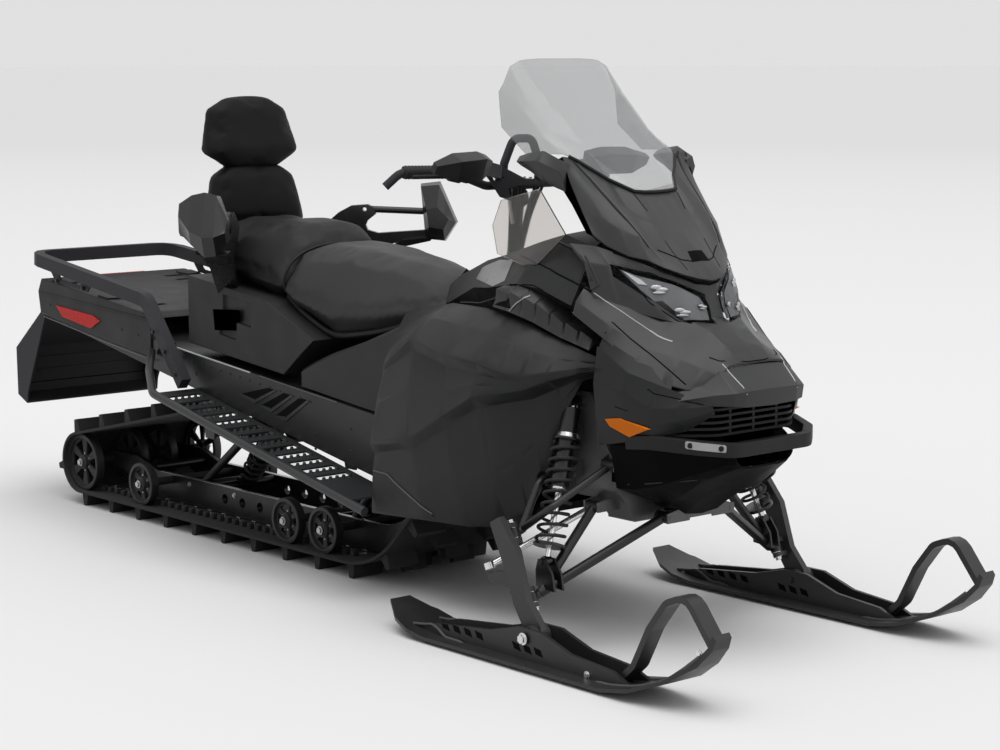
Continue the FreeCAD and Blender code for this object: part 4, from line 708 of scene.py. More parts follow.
@dataclass(frozen=True)
class Studio:
    """Pale floor, soft light and the camera at the photograph's place, in metres."""

    eye: tuple[float, float, float] = (-4.071, -5.077, 1.434)
    look: tuple[float, float, float] = (0.0, -0.426, 0.576)
    lens: float = 84.5
    sensor: float = 36.0
    sight: float = 200.0
    floor_half: float = 160.0
    near_tone: float = 0.85
    far_tone: float = 0.715
    bounce_tone: float = 0.2
    backdrop_tone: float = 0.75
    fade_end: float = 30.0
    dome_low: float = 0.08
    dome_high: float = 0.8

    def build(self) -> None:
        """Makes the floor, the world, the lamps and the camera."""
        self.floor()
        self.world()
        self.lamps()
        self.camera()

    def floor(self) -> None:
        """A wide pale floor that takes the machine's shadow and fades into the backdrop."""
        shape = bmesh.new()
        bmesh.ops.create_grid(shape, x_segments=1, y_segments=1, size=self.floor_half)
        mesh = bpy.data.meshes.new("floor")
        shape.to_mesh(mesh)
        shape.free()
        made = bpy.data.objects.new("floor", mesh)
        bpy.context.scene.collection.objects.link(made)
        pale, (nodes, links, shader) = node_material("pale_floor")
        shader.inputs["Roughness"].default_value = 0.9
        shader.inputs["Specular IOR Level"].default_value = 0.0
        place = nodes.new("ShaderNodeTexCoord").outputs["Object"]
        spread, fade = nodes.new("ShaderNodeVectorMath"), nodes.new("ShaderNodeValToRGB")
        spread.operation = "LENGTH"
        links.new(place, spread.inputs[0])
        distance = nodes.new("ShaderNodeMapRange")
        distance.inputs["From Max"].default_value = self.fade_end
        links.new(spread.outputs["Value"], distance.inputs["Value"])
        links.new(distance.outputs["Result"], fade.inputs["Fac"])
        near, far = fade.color_ramp.elements
        near.position, far.position = 0.12, 1.0
        near.color, far.color = (self.near_tone,) * 3 + (1,), (self.far_tone,) * 3 + (1,)
        path, dim = nodes.new("ShaderNodeLightPath"), nodes.new("ShaderNodeMix")
        dim.data_type = "RGBA"
        pale_in, dark_in = dim.inputs[6], dim.inputs[7]
        dark_in.default_value = (self.bounce_tone,) * 3 + (1,)
        links.new(path.outputs["Is Diffuse Ray"], dim.inputs[0])
        links.new(fade.outputs["Color"], pale_in)
        links.new(dim.outputs[2], shader.inputs["Base Color"])
        mesh.materials.append(pale)

    def world(self) -> None:
        """Soft light from all round, with a pale backdrop for the camera and for gloss and glass."""
        world = bpy.data.worlds.new("studio")
        bpy.context.scene.world = world
        world.use_nodes = True
        nodes, links = world.node_tree.nodes, world.node_tree.links
        nodes.clear()
        out, mix = nodes.new("ShaderNodeOutputWorld"), nodes.new("ShaderNodeMixShader")
        soft, seen = nodes.new("ShaderNodeBackground"), nodes.new("ShaderNodeBackground")
        soft.inputs["Color"].default_value = (1, 1, 1, 1)
        place, split = nodes.new("ShaderNodeTexCoord"), nodes.new("ShaderNodeSeparateXYZ")
        grade = nodes.new("ShaderNodeMapRange")
        grade.inputs["To Min"].default_value = self.dome_low
        grade.inputs["To Max"].default_value = self.dome_high
        links.new(place.outputs["Generated"], split.inputs[0])
        links.new(split.outputs["Z"], grade.inputs["Value"])
        links.new(grade.outputs["Result"], soft.inputs["Strength"])
        seen.inputs["Color"].default_value = (self.backdrop_tone,) * 3 + (1,)
        seen.inputs["Strength"].default_value = 1.0
        path = nodes.new("ShaderNodeLightPath")
        first, second = nodes.new("ShaderNodeMath"), nodes.new("ShaderNodeMath")
        first.operation = second.operation = "MAXIMUM"
        links.new(path.outputs["Is Camera Ray"], first.inputs[0])
        links.new(path.outputs["Is Glossy Ray"], first.inputs[1])
        links.new(first.outputs[0], second.inputs[0])
        links.new(path.outputs["Is Transmission Ray"], second.inputs[1])
        links.new(second.outputs[0], mix.inputs[0])
        links.new(soft.outputs[0], mix.inputs[1])
        links.new(seen.outputs[0], mix.inputs[2])
        links.new(mix.outputs[0], out.inputs["Surface"])

    def lamps(self) -> None:
        """Wide soft light from above, from the front and from the near side, level all over the floor."""
        for name, spot, target, spread, power in (
                ("overhead", (-0.6, -0.9, 5.0), (0, 0, 0), 60.0, 1.35),
                ("front", (2.4, -6.0, 3.6), (0, 0, 0.4), 50.0, 0.3),
                ("near_side", (-6.0, 1.5, 3.4), (0, 0, 0.4), 50.0, 0.06)):
            lamp = bpy.data.lights.new(name, "SUN")
            lamp.angle, lamp.energy = math.radians(spread), power
            made = bpy.data.objects.new(name, lamp)
            made.location = spot
            made.rotation_euler = (Vector(target) - Vector(spot)).to_track_quat("-Z", "Y").to_euler()
            bpy.context.scene.collection.objects.link(made)

    def camera(self) -> None:
        """The camera that the photograph was taken with, as near as could be fitted."""
        camera = bpy.data.cameras.new("camera")
        camera.lens, camera.sensor_width = self.lens, self.sensor
        camera.clip_end = self.sight
        made = bpy.data.objects.new("camera", camera)
        made.location = self.eye
        made.rotation_euler = (Vector(self.look) - Vector(self.eye)).to_track_quat("-Z", "Y").to_euler()
        bpy.context.scene.collection.objects.link(made)
        bpy.context.scene.camera = made


@dataclass
class TrackAssembly:
    """The track with its clips, the slide rails, the wheels and the rear suspension's arms, in mm."""

    idler: tuple[float, float] = (1317.0, 137.0)
    idler_radius: float = 89.0
    bogie_radius: float = 65.0
    bogie_z: float = 113.0
    bogies: tuple[float, ...] = (55.0, 229.0, 981.0)
    wheel_out: float = 222.0
    wheel_in: float = 55.0
    wheel_wide: float = 26.0
    bolt_circle: float = 27.0
    rail_x: float = 115.0
    belt_inside: float = 48.0
    belt_start: float = -30.0
    clip_pitch: float = 76.0
    lug_pitch: float = 38.0

    def build(self) -> None:
        """Makes every piece of the assembly."""
        dressed("track", RUBBER, 0.0018, crease=40)
        dressed("slide_rails", RAIL, 0.001)
        dressed("drive_axle", WHEEL, 0.0015)
        dressed("carrier_wheels", WHEEL, 0.0012)
        dressed("front_swing_arm", BLACK_PAINT, 0.001)
        dressed("rear_swing_arm", BLACK_PAINT, 0.001)
        dressed("track_shocks", DAMPER, 0.0008)
        dressed("idler_wheels", WHEEL, 0.0012)
        dressed("bogie_wheels", WHEEL, 0.0012)
        self.tyres()
        self.hubs()
        self.clips()
        self.drive_lugs()
        self.springs()
        self.wear_strips()

    def wheels(self) -> list[tuple[float, float, float, float]]:
        """Each road wheel's place and radius.

        Returns:
            X, Y and Z of its middle and its radius, in millimetres.
        """
        found = [(side * self.wheel_out, y, self.bogie_z, self.bogie_radius)
                 for y in self.bogies for side in SIGNS]
        rear = (-self.wheel_out, -self.wheel_in, self.wheel_in, self.wheel_out)
        return found + [(x, *self.idler, self.idler_radius) for x in rear]

    def tyres(self) -> None:
        """Rubber bands round the wheels, with a raised middle."""
        shape = bmesh.new()
        for x, y, z, radius in self.wheels():
            half = self.wheel_wide / 2
            profile = ((half + 0.4, radius - 10), (half + 0.4, radius - 2.5), (half - 3, radius + 0.4),
                       (-half + 3, radius + 0.4), (-half - 0.4, radius - 2.5), (-half - 0.4, radius - 10))
            ring = [shape.verts.new(at(x + beside, y, z + out)) for beside, out in profile]
            edges = [shape.edges.new(pair) for pair in zip(ring, ring[1:] + ring[:1])]
            bmesh.ops.spin(shape, geom=ring + edges, cent=at(x, y, z), axis=(1, 0, 0), angle=math.tau,
                           steps=48, use_merge=True, use_duplicate=False)
        bmesh.ops.remove_doubles(shape, verts=shape.verts, dist=MERGE)
        bmesh.ops.recalc_face_normals(shape, faces=shape.faces)
        show("wheel_tyres", shape, TYRE, crease=50)

    def hubs(self) -> None:
        """Bearing caps and bolts in the middle of the outer wheels."""
        caps, bolts = bmesh.new(), bmesh.new()
        for x, y, z, _ in self.wheels():
            if abs(x) < self.wheel_out:
                continue
            side = math.copysign(1, x)
            face = x + side * self.wheel_wide / 2
            drum(caps, at(face - side * 8, y, z), at(face + side * 3, y, z), 0.021, 32, tip=0.017,
                 edge=0.0015)
            hex_bolt(bolts, at(face + side * 6.5, y, z), Vector((side, 0, 0)), 0.009, 0.006)
            for i in range(6):
                turn = math.tau * (i + 0.5) / 6
                up, along = self.bolt_circle * math.sin(turn), self.bolt_circle * math.cos(turn)
                round_bolt(bolts, at(face - side * 9.6, y + along, z + up), Vector((side, 0, 0)), 0.003)
        show("wheel_caps", caps, WHEEL)
        show("wheel_bolts", bolts, ALUMINIUM)

    def clips(self) -> None:
        """Bright steel guide clips folded over the belt's inner face, beside both rails."""
        shape = bmesh.new()
        floor = self.belt_inside
        for side in SIGNS:
            for i in range(18):
                y = self.belt_start + i * self.clip_pitch
                for x in (side * 150, side * 76):
                    block(shape, at(x - 13, y - 12, floor - 1), at(x + 13, y + 12, floor + 2.2), 0.0008)
                    block(shape, at(x - 3, y - 9, floor + 1), at(x + 3, y + 9, floor + 11), 0.001)
        show("track_clips", shape, BRIGHT)

    def drive_lugs(self) -> None:
        """Rubber drive lugs on the belt's inner face, in one row outside each rail."""
        shape = bmesh.new()
        for side in SIGNS:
            for i in range(35):
                y = self.belt_start + i * self.lug_pitch
                block(shape, at(side * 188 - 9, y - 9, self.belt_inside - 1),
                      at(side * 188 + 9, y + 9, self.belt_inside + 16), 0.003)
        show("track_drive_lugs", shape, RUBBER)

    def springs(self) -> None:
        """Coil springs over the two dampers of the rear suspension."""
        shape = bmesh.new()
        for top, low in (((0, -110, 330), (0, 142, 118)), ((0, 560, 330), (0, 760, 118))):
            start, end = at(*top), at(*low)
            coil(shape, start.lerp(end, 0.26), start.lerp(end, 0.83), 0.03, 0.0042, 7)
        show("track_springs", shape, BAR)

    def wear_strips(self) -> None:
        """Slide strips below the rails and a bright line along each rail's upper edge."""
        shape, line = bmesh.new(), bmesh.new()
        for side in SIGNS:
            x = side * self.rail_x
            block(line, at(x - 7.3, 20, 131.2), at(x + 7.3, 1040, 132.6), 0.0005)
            for y in (180, 420, 640, 880):
                hex_bolt(line, at(x + side * 7, y, 112), Vector((side, 0, 0)), 0.006)
            block(shape, at(x - 12, -40, 48.4), at(x + 12, 1110, 56), 0.0015)
        show("rail_lines", line, ALUMINIUM)
        show("slide_strips", shape, TRIM)


@dataclass
class TunnelAssembly:
    """Tunnel, running boards, cargo deck, flap, hitch and rack, in mm."""

    half: float = 265.0
    front: tuple[float, float] = (-430.0, 452.0)
    rear: tuple[float, float] = (1500.0, 640.0)
    deck_half: float = 271.0
    board_front: tuple[float, float] = (-300.0, 268.0)
    board_rear: tuple[float, float] = (620.0, 447.0)

    def build(self) -> None:
        """Makes every piece of the assembly."""
        dressed("tunnel", TUNNEL_PAINT, 0.0014)
        for side in SIDES:
            dressed(f"running_board_{side}", BOARD_PAINT, 0.0008)
        dressed("cargo_deck", DECK, 0.0035)
        dressed("tail_lamp", RED_LENS, 0.002)
        dressed("side_reflectors", RED_LENS, 0.0012)
        dressed("snow_flap", FLAP, 0.002)
        dressed("tow_hitch", BLACK_PAINT, 0.001)
        dressed("rear_rack", BAR, 0.004, crease=60)
        self.rivets()
        self.edge_line()
        self.louvres()
        self.flap_ribs()
        self.deck_trim()
        self.rack_bolts()
        self.board_teeth()

    def top(self, y: float) -> float:
        """Height of the tunnel's top sheet at a place along it, in millimetres."""
        (y0, z0), (y1, z1) = self.front, self.rear
        return z0 + (y - y0) * (z1 - z0) / (y1 - y0)

    def rivets(self) -> None:
        """Rows of rivets along the tunnel's upper edges and down its sides."""
        shape = bmesh.new()
        for side in SIGNS:
            for i in range(16):
                y = 60 + i * 48
                round_bolt(shape, at(side * self.half, y, self.top(y) - 24), Vector((side, 0, 0)), 0.0045)
            for y, drop in ((40, 110), (40, 150), (300, 150), (560, 90), (620, 60), (-120, 60), (-120, 120)):
                round_bolt(shape, at(side * self.half, y, self.top(y) - drop), Vector((side, 0, 0)), 0.005)
            for y in (920, 1010, 1200, 1430):
                round_bolt(shape, at(side * self.deck_half, y, self.top(y) - 2), Vector((side, 0, 0)), 0.005)
        show("tunnel_rivets", shape, BAR)

    def edge_line(self) -> None:
        """Painted highlights along the folded upper edges of the tunnel and the deck, and the tunnel's clip
        at the deck.
        """
        half = self.half + 0.4
        paths = [[at(-half, y, self.top(y) - 1.5) for y in (345, 560, 722)],
                 [at(-half, y, self.top(y) - 1.2) for y in (-60, 120, 300)]]
        strand("tunnel_edges", across(paths[:1]), 0.0026, PAINTED_HIGHLIGHT, smooth=False)
        strand("tunnel_edges_front", across(paths[1:]), 0.0016, DIM_PAINTED_HIGHLIGHT, smooth=False)
        rear = [at(-self.deck_half - 0.6, y, z) for y, z in ((826, 512), (1100, 543), (1470, 592))]
        strand("deck_edges", across([rear]), 0.0016, DIM_PAINTED_HIGHLIGHT, smooth=False)
        shape = bmesh.new()
        for side in SIGNS:
            x, pin_x = side * (half + 1), side * (half + 2)
            block(shape, at(x - 4, 724, self.top(740) - 6), at(x + 4, 742, self.top(740) + 12), 0.0015)
            drum(shape, at(pin_x, 744, self.top(744) + 10), at(pin_x, 752, self.top(744) - 14), 0.003, 10,
                 edge=0.0006)
        show("edge_clips", shape, BAR)

    def louvres(self) -> None:
        """Three slanted louvres pressed into each tunnel side, with their lit lower lips."""
        shade, lip = bmesh.new(), bmesh.new()
        tree = skin("tunnel")
        slants = (((405, 458), (322, 441), (216, 489), (262, 492)),
                  ((300, 436), (243, 424), (137, 483), (186, 486)),
                  ((229, 415), (173, 408), (63, 477), (112, 481)))
        for rear, toe, tip, top in slants:
            low_lip = (rear, toe, (toe[0] + 4, toe[1] + 12), (rear[0] - 12, rear[1] + 4))
            front_lip = (toe, tip, (tip[0] + 12, tip[1] + 1), (toe[0] + 5, toe[1] + 9))
            for target, corners, lift, depth in ((shade, (rear, toe, tip, top), 0.0008, 0.002),
                                                 (lip, low_lip, 0.0022, 0.002),
                                                 (lip, front_lip, 0.003, 0.003)):
                draped(target, [(-self.half, *spot) for spot in corners], tree, (-1, 0, 0), lift, depth, 0.2)
        for shape in (shade, lip):
            both_hands(shape)
        show("louvre_shades", shade, PAINTED_SHADE)
        show("louvre_lips", lip, BOARD_PAINT)

    def flap_ribs(self) -> None:
        """Stiffening ribs pressed into the snow flap, and a line of painted shade along its fold."""
        tree = skin("snow_flap")
        shape, dark = bmesh.new(), bmesh.new()
        for z, reach, tall in ((425, 200, 7), (385, 178, 8)):
            for y, out in ((1681, 1), (1678, -1)):
                draped(shape, [(-reach, y, z + tall), (reach, y, z + tall), (reach - 16, y, z - tall),
                               (-reach + 16, y, z - tall)], tree, (0, out, 0), 0.003, 0.003, 0.06)
        draped(dark, [(-235, 1678, 352), (235, 1678, 352), (235, 1678, 349), (-235, 1678, 349)], tree,
               (0, -1, 0), 0.001, 0.002, 0.06)
        show("flap_ribs", shape, FLAP)
        show("flap_fold", dark, PAINTED_SHADE)

    def deck_trim(self) -> None:
        """Raised pads and side band of the cargo deck."""
        tree = skin("cargo_deck")
        pads, band = bmesh.new(), bmesh.new()
        for side in SIGNS:
            for y in (1100, 1372):
                pad = [(262, y), (262, y + 56), (210, y + 64), (196, y + 30), (210, y - 8)]
                corners = [(side * x, along, 690) for x, along in pad]
                draped(pads, corners, tree, (0, 0, 1), 0.005, 0.006, 0.03)
            strip = [(1486, 672), (860, 636), (860, 626), (1486, 662)]
            draped(band, [(side * self.deck_half, y, z) for y, z in strip], tree, (side, 0, 0), 0.0015, 0.002,
                   0.1)
        show("deck_pads", pads, DECK)
        show("deck_bands", band, TRIM)

    def rack_bolts(self) -> None:
        """Bolts that hold the rack's bars and brackets."""
        shape = bmesh.new()
        for side in SIGNS:
            for y, z in ((640, 494), (700, 556), (757, 610)):
                hex_bolt(shape, at(side * 322, y, z), Vector((side, -0.12, 0)), 0.006)
            for y, z in ((1222, 700), (1376, 712)):
                hex_bolt(shape, at(side * (self.deck_half + 5), y, z), Vector((side, 0, 0)), 0.006)
        show("rack_bolts", shape, BLACK_PAINT)

    def board_teeth(self) -> None:
        """Upturned teeth beside the slots of both running boards."""
        shape = bmesh.new()
        (y0, z0), (y1, z1) = self.board_front, self.board_rear
        for side in SIGNS:
            for i in range(13):
                y = -150 + i * 700 / 12 - 4
                z = z0 + (y - y0) * ((z1 - z0) / (y1 - y0)) + 5
                for j in range(5):
                    x = side * (self.half + 30 + j * 22)
                    drum(shape, at(x, y, z - 1), at(x, y, z + 7), 0.0062, 8, tip=0.004)
        show("board_teeth", shape, BOARD_PAINT)


@dataclass
class SeatAssembly:
    """Seat base, cushions, backrest and the passenger's grips. The seam's place is in mm."""

    seam_y: float = 263.0
    pod_growth: tuple[float, float, float] = (1.14, 1.14, 1.12)
    cell: float = 0.009
    air_pressure: float = 3.0
    last_frame: int = 14

    def build(self) -> None:
        """Makes every piece of the assembly."""
        dressed("seat_base", DECK, 0.012, crease=25)
        dressed("backrest_frame", BLACK_PAINT, 0.002)
        dressed("passenger_grips", GLOSSY, 0.009, crease=20, reshape=self.wider_pods)
        self.cushion("rider_seat", RIDER_VINYL, 0.016, 0.006)
        self.cushion("passenger_seat", PASSENGER_VINYL, 0.02, 0.007)
        self.cushion("backrest_lower", BACKREST_VINYL, 0.014, 0.005, (1.06, 1.0, 1.0))
        self.cushion("backrest_headrest", BACKREST_VINYL, 0.014, 0.005, (1.09, 1.0, 1.08), -0.009)
        self.piping()
        self.nose_lever()
        self.shoulders()
        self.base_recess()

    def wider_pods(self, shape: bmesh.types.BMesh) -> None:
        """Gives the passenger's grips the fuller shields of the real ones.

        Args:
            shape: Both grips, in place.
        """
        low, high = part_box("passenger_grips")
        waist = low[2] + (high[2] - low[2]) * 0.45
        for side in SIGNS:
            pod = [vertex for vertex in shape.verts if vertex.co.x * side > 0 and vertex.co.z > waist]
            middle = sum((vertex.co for vertex in pod), Vector()) / len(pod)
            bmesh.ops.scale(shape, verts=pod, vec=self.pod_growth, space=Matrix.Translation(-middle))

    def shoulders(self) -> None:
        """Covers that run from the rider's seat down to the tunnel's edges, ahead of the seat base."""
        shape = bmesh.new()
        stations = [(112, 512, 560), (60, 507, 584), (-25, 498, 617), (-162, 484, 660), (-250, 476, 692),
                    (-335, 468, 724)]
        folded(shape, [[(-257, y, low), (-257, y, high - 8), (-249, y, high), (-182, y, high + 2)]
                       for y, low, high in stations], 0.003)
        show("seat_shoulders", shape, BODY)

    def base_recess(self) -> None:
        """Painted shade: a near-black plate in the pocket in each side of the seat base."""
        outline = [(530, 692), (396, 700), (394, 668), (414, 662), (414, 640), (522, 632)]
        shape = cut_plate([(-263.2, y, z) for y, z in outline], 0.002)
        both_hands(shape)
        bmesh.ops.recalc_face_normals(shape, faces=shape.faces)
        show("seat_base_pockets", shape, PAN)

    def nose_lever(self) -> None:
        """Release lever standing at the nose of the rider's seat."""
        shape = cut_plate([(-52, -318, 800), (-46, -322, 838), (-34, -330, 856), (-22, -338, 842),
                           (-12, -344, 796)], 0.012)
        soften(shape, 0.002)
        show("seat_nose_lever", shape, TRIM)

    def cushion(self, node: str, finish: Finish, round_by: float, swell: float,
                grow: tuple[float, float, float] = (1.0, 1.0, 1.0), rise: float = 0.0) -> bpy.types.Object:
        """A stuffed piece: the CAD cushion with rounded edges, swollen under its cover.

        Args:
            node: CAD node of the cushion.
            finish: Its cover.
            round_by: Rounding of its edges in metres.
            swell: How far its cover may move out.
            grow: Its scale about its own middle.
            rise: How far it then moves up, in metres.

        Returns:
            The piece that stands for the node.
        """
        shape = carried(node)
        low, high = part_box(node)
        middle = (Vector(low) + Vector(high)) / 2
        bmesh.ops.scale(shape, verts=shape.verts, vec=grow, space=Matrix.Translation(-middle))
        bmesh.ops.translate(shape, verts=shape.verts, vec=(0, 0, rise))
        soften(shape, round_by, 28, 3)
        made = show(f"{node}.cover", shape, finish, CHASSIS, [node], crease=80, weighted=False)
        self.remesh(made)
        self.inflate(made, swell)
        finer = made.modifiers.new("finer", "SUBSURF")
        finer.levels = finer.render_levels = 1
        return made

    def remesh(self, made: bpy.types.Object) -> None:
        """Gives a cushion an even mesh, with its corners eased.

        Args:
            made: The cushion.
        """
        even = made.modifiers.new("even", "REMESH")
        even.mode, even.voxel_size = "VOXEL", self.cell
        ease = made.modifiers.new("ease", "SMOOTH")
        ease.factor, ease.iterations = 0.5, 6
        self.apply(made)

    def apply(self, made: bpy.types.Object) -> None:
        """Makes a piece's modifiers part of its mesh.

        Args:
            made: The piece.
        """
        bpy.context.view_layer.update()
        evaluated = made.evaluated_get(bpy.context.evaluated_depsgraph_get())
        mesh = bpy.data.meshes.new_from_object(evaluated)
        old, made.data = made.data, mesh
        made.modifiers.clear()
        bpy.data.meshes.remove(old)
        for face in mesh.polygons:
            face.use_smooth = True

    def inflate(self, made: bpy.types.Object, cap: float) -> None:
        """Swells a cushion's cover with cloth under pressure, and caps how far it moves.

        Args:
            made: The cushion, with an even mesh.
            cap: Greatest movement of a point in metres.
        """
        rest = [v.co.copy() for v in made.data.vertices]
        cloth = made.modifiers.new("cover", "CLOTH")
        cloth.settings.use_pressure = True
        cloth.settings.uniform_pressure_force = self.air_pressure
        cloth.settings.effector_weights.gravity = 0.0
        cloth.settings.quality = 4
        cloth.point_cache.frame_start, cloth.point_cache.frame_end = 1, self.last_frame
        scene = bpy.context.scene
        for step in range(1, self.last_frame + 1):
            scene.frame_set(step)
        self.apply(made)
        scene.frame_set(1)
        for vertex, start in zip(made.data.vertices, rest):
            move = vertex.co - start
            if move.length > cap:
                vertex.co = start + move.normalized() * cap

    def piping(self) -> None:
        """Dark piping on the seam between both cushions and round the rider's lower edge."""
        ring = [(-176, 742), (-213, 768), (-190, 830), (-140, 866), (-70, 884), (0, 886)]
        path = [at(x, self.seam_y, z) for x, z in ring] + [at(-x, self.seam_y, z) for x, z in ring[-2::-1]]
        strand("seat_piping", [path], 0.0042, TRIM)
        for side, way in (("right", 1), ("left", -1)):
            low = [(-178, 262, 740), (-192, 205, 716), (-190, 120, 676), (-188, 40, 648), (-172, -60, 662),
                   (-160, -130, 674), (-124, -274, 716), (-80, -338, 748)]
            strand(f"seat_edge_{side}", [[at(way * x * 1.04, y, z + 4) for x, y, z in low]], 0.009, TRIM)


@dataclass
class BodyAssembly:
    """Panels, cowl, nose, lamps, windshield and what shows of the engine bay.

    The tuck, in metres, says where both sides' panels start to bend in, over what run, and how far.
    """

    tuck_start: float = 0.8
    tuck_run: float = 0.405
    tuck: tuple[float, float, float] = (0.11, 0.1, -0.022)

    def build(self) -> None:
        """Makes every piece of the assembly."""
        for side in SIDES:
            dressed(f"side_panel_{side}", BODY, 0.002, crease=55, curved=True, reshape=self.tucked)
        dressed("console", BODY, 0.006, crease=30)
        dressed("hood", COWL, 0.0015, crease=32, curved=True)
        dressed("nose", COWL, 0.004, crease=30)
        dressed("nose_sides", BODY, 0.0015, crease=40)
        dressed("fairing", FAIRING, 0.0015, crease=24, curved=True)
        dressed("windshield", SMOKE, 0.0008, crease=60, curved=True)
        dressed("side_deflectors", TINT, 0.0008, crease=60)
        dressed("side_vents", VENT, 0.0025, reshape=self.tucked)
        dressed("grille", TRIM, 0.001)
        dressed("front_bumper", TRIM, 0.005, crease=60)
        dressed("belly_pan", PAN, 0.0015)
        dressed("front_reflectors", AMBER_LENS, 0.001)
        dressed("gauge", TRIM, 0.004)
        dressed("engine_block", ENGINE, 0.004)
        dressed("engine_pan", PAN, 0.002)
        self.vent_liners()
        self.cowl_brows()
        self.lamps()
        self.fairing_form()
        self.ridge_highlights()
        self.shadow_gaps()
        self.cowl_inset()
        self.cowl_end()
        self.grille_back()
        self.belly_slots()
        self.toe_guards()
        self.inlet_edges()
        self.plate()
        self.gauge_face()

    def tucked(self, shape: bmesh.types.BMesh) -> None:
        """Bends the front ends of both sides' panels in towards the nose, as on the real machine.

        Args:
            shape: The panels, in place.
        """
        inward, back, down = self.tuck
        for vertex in shape.verts:
            share = min(1.0, max(0.0, (-self.tuck_start - vertex.co.y) / self.tuck_run))
            ease = share * share * (3 - 2 * share)
            vertex.co += Vector((-math.copysign(inward, vertex.co.x), back, down)) * ease

    def vent_liners(self) -> None:
        """Painted shade: a near-black sheet under the lower edge of the air inlets, down to the side panels.
        """
        shape = bmesh.new()
        run = [(-286, -700, 812), (-288, -740, 806), (-294, -800, 800), (-304, -890, 786), (-324, -1010, 760),
               (-340, -1110, 744)]
        folded(shape, [[(x, y, z), (x + 22, y, z + 6), (x + 40, y, z - 70)] for x, y, z in run], 0.002)
        self.tucked(shape)
        show("vent_liners", shape, PAN)

    def cowl_brows(self) -> None:
        """Body-coloured strip that closes each side between the cowl's edge and the nose's side."""
        shape = bmesh.new()
        folded(shape, [[(-250, -1086, 768), (-270, -1086, 728)], [(-252, -1120, 744), (-268, -1135, 705)],
                       [(-238, -1166, 720), (-261, -1189, 681)], [(-217, -1212, 697), (-239, -1233, 660)],
                       [(-195, -1262, 669), (-209, -1269, 645)]], 0.002)
        show("cowl_brows", shape, BODY, weighted=False)

    def fairing_form(self) -> None:
        """Folds, recessed middle, slot, gasket and returned sides of the fairing, with painted shade and
        highlight.
        """
        fold = [(-181, -901, 1166), (-164, -943, 1123), (-157, -982, 1088), (-150, -1017, 1057),
                (-141, -1048, 1029)]
        ridge = [(-167, -904, 1160), (-152, -973, 1098), (-139, -1044, 1034), (-123, -1092, 982),
                 (-104, -1133, 934)]
        recess = [(-102, -1114, 959), (-76, -1130, 946), (-53, -1149, 934), (-29, -1158, 930)]
        high = [(-74, -1004, 1086), (-70, -1024, 1065), (-65, -1041, 1046)]
        # Dark lines on the folds and recess are painted shade; the pale line on the ridge is a painted
        # highlight.
        for name, path, radius, finish, lift in (
                ("fold", fold, 0.0036, TRIM, -0.0012),
                ("fold_end", fold[-1:] + [(-134, -1078, 1000), (-122, -1104, 965)], 0.0018, TRIM, 0.0),
                ("ridge", ridge, 0.0011, DIM_PAINTED_HIGHLIGHT, 0.0),
                ("recess", recess, 0.0016, PAINTED_SHADE, 0.0),
                ("low_folds", [(-67, -1104, 978), (-63, -1137, 944), (-56, -1170, 912)], 0.0011, TRIM, 0.0),
                ("high_folds", high, 0.0014, TRIM, 0.0)):
            seam(f"fairing_{name}", path, ["fairing"], radius, finish, lift)
        rim = [(0, -1004, 1089), (40, -1004, 1090), (72, -1002, 1093), (112, -953, 1121), (136, -933, 1140),
               (166, -903, 1165), (188, -894, 1177)]
        strand("screen_gasket", across([[at(-x, y, z) for x, y, z in rim]]), 0.0042, TRIM, smooth=False)
        dark = bmesh.new()
        draped(dark, [(-24, -1141, 955), (24, -1141, 955), (29, -1160, 929), (-29, -1160, 929)],
               skin("fairing"), (0, -0.8, 0.6), 0.0006, 0.003)
        show("fairing_slot", dark, PAINTED_SHADE)
        # The returned sides are a near-black plate of painted shade.
        outline = [(-871, 1166), (-889, 1108), (-933, 1062), (-985, 996), (-1006, 992), (-966, 1048),
                   (-924, 1116), (-897, 1176)]
        sides = cut_plate([(-213, y, z) for y, z in outline], 0.005)
        both_hands(sides)
        bmesh.ops.recalc_face_normals(sides, faces=sides.faces)
        show("fairing_sides", sides, TRIM)

    def lamps(self) -> None:
        """Headlamps: a clear cover over a smoky housing, with bright bowls and a light guide."""
        cover = carried("headlamps")
        soften(cover, 0.003, 30)
        show("headlamps.cover", cover, LENS, CHASSIS, ["headlamps"], crease=35)
        tree = skin("headlamps")
        bowls, housing = bmesh.new(), bmesh.new()
        out = Vector((-0.55, -0.78, 0.32)).normalized()
        outline = [(-187, -1074, 916), (-160, -1112, 901), (-96, -1166, 880), (-44, -1199, 850),
                   (-34, -1212, 826), (-36, -1226, 796), (-96, -1196, 797), (-128, -1170, 818),
                   (-152, -1137, 842), (-162, -1122, 868)]
        draped(housing, outline, tree, out, -0.007, 0.004)
        bowl_parts = ((-0.14, 0.12, 0.3, 0.13), (0.16, 0.0, 0.34, 0.12), (0.02, -0.16, 0.36, 0.09))
        turn = Matrix.Rotation(math.atan2(-0.576, 0.817), 4, "Z")
        for x, y, z, wide in ((-131, -1149, 869, 46), (-98, -1195, 816, 44), (-47, -1212, 827, 24)):
            spot = at(x, y, z) - out * 0.003
            for along, rise, long, tall in bowl_parts:
                place = turn @ Vector((along, 0, rise)) * wide / 1000
                size = Matrix.Diagonal((long * wide / 1000, 0.0045, tall * wide / 1000, 1))
                bmesh.ops.create_icosphere(bowls, subdivisions=3, radius=1.0,
                                           matrix=Matrix.Translation(spot + place) @ turn @ size)
        draped(bowls, [(-184, -1078, 914), (-158, -1116, 893), (-150, -1130, 880), (-164, -1112, 882)], tree,
               out, -0.004, 0.002)
        both_hands(bowls)
        both_hands(housing)
        show("lamp_housings", housing, LAMP_HOUSING)
        show("lamp_bowls", bowls, LAMP_BOWL)

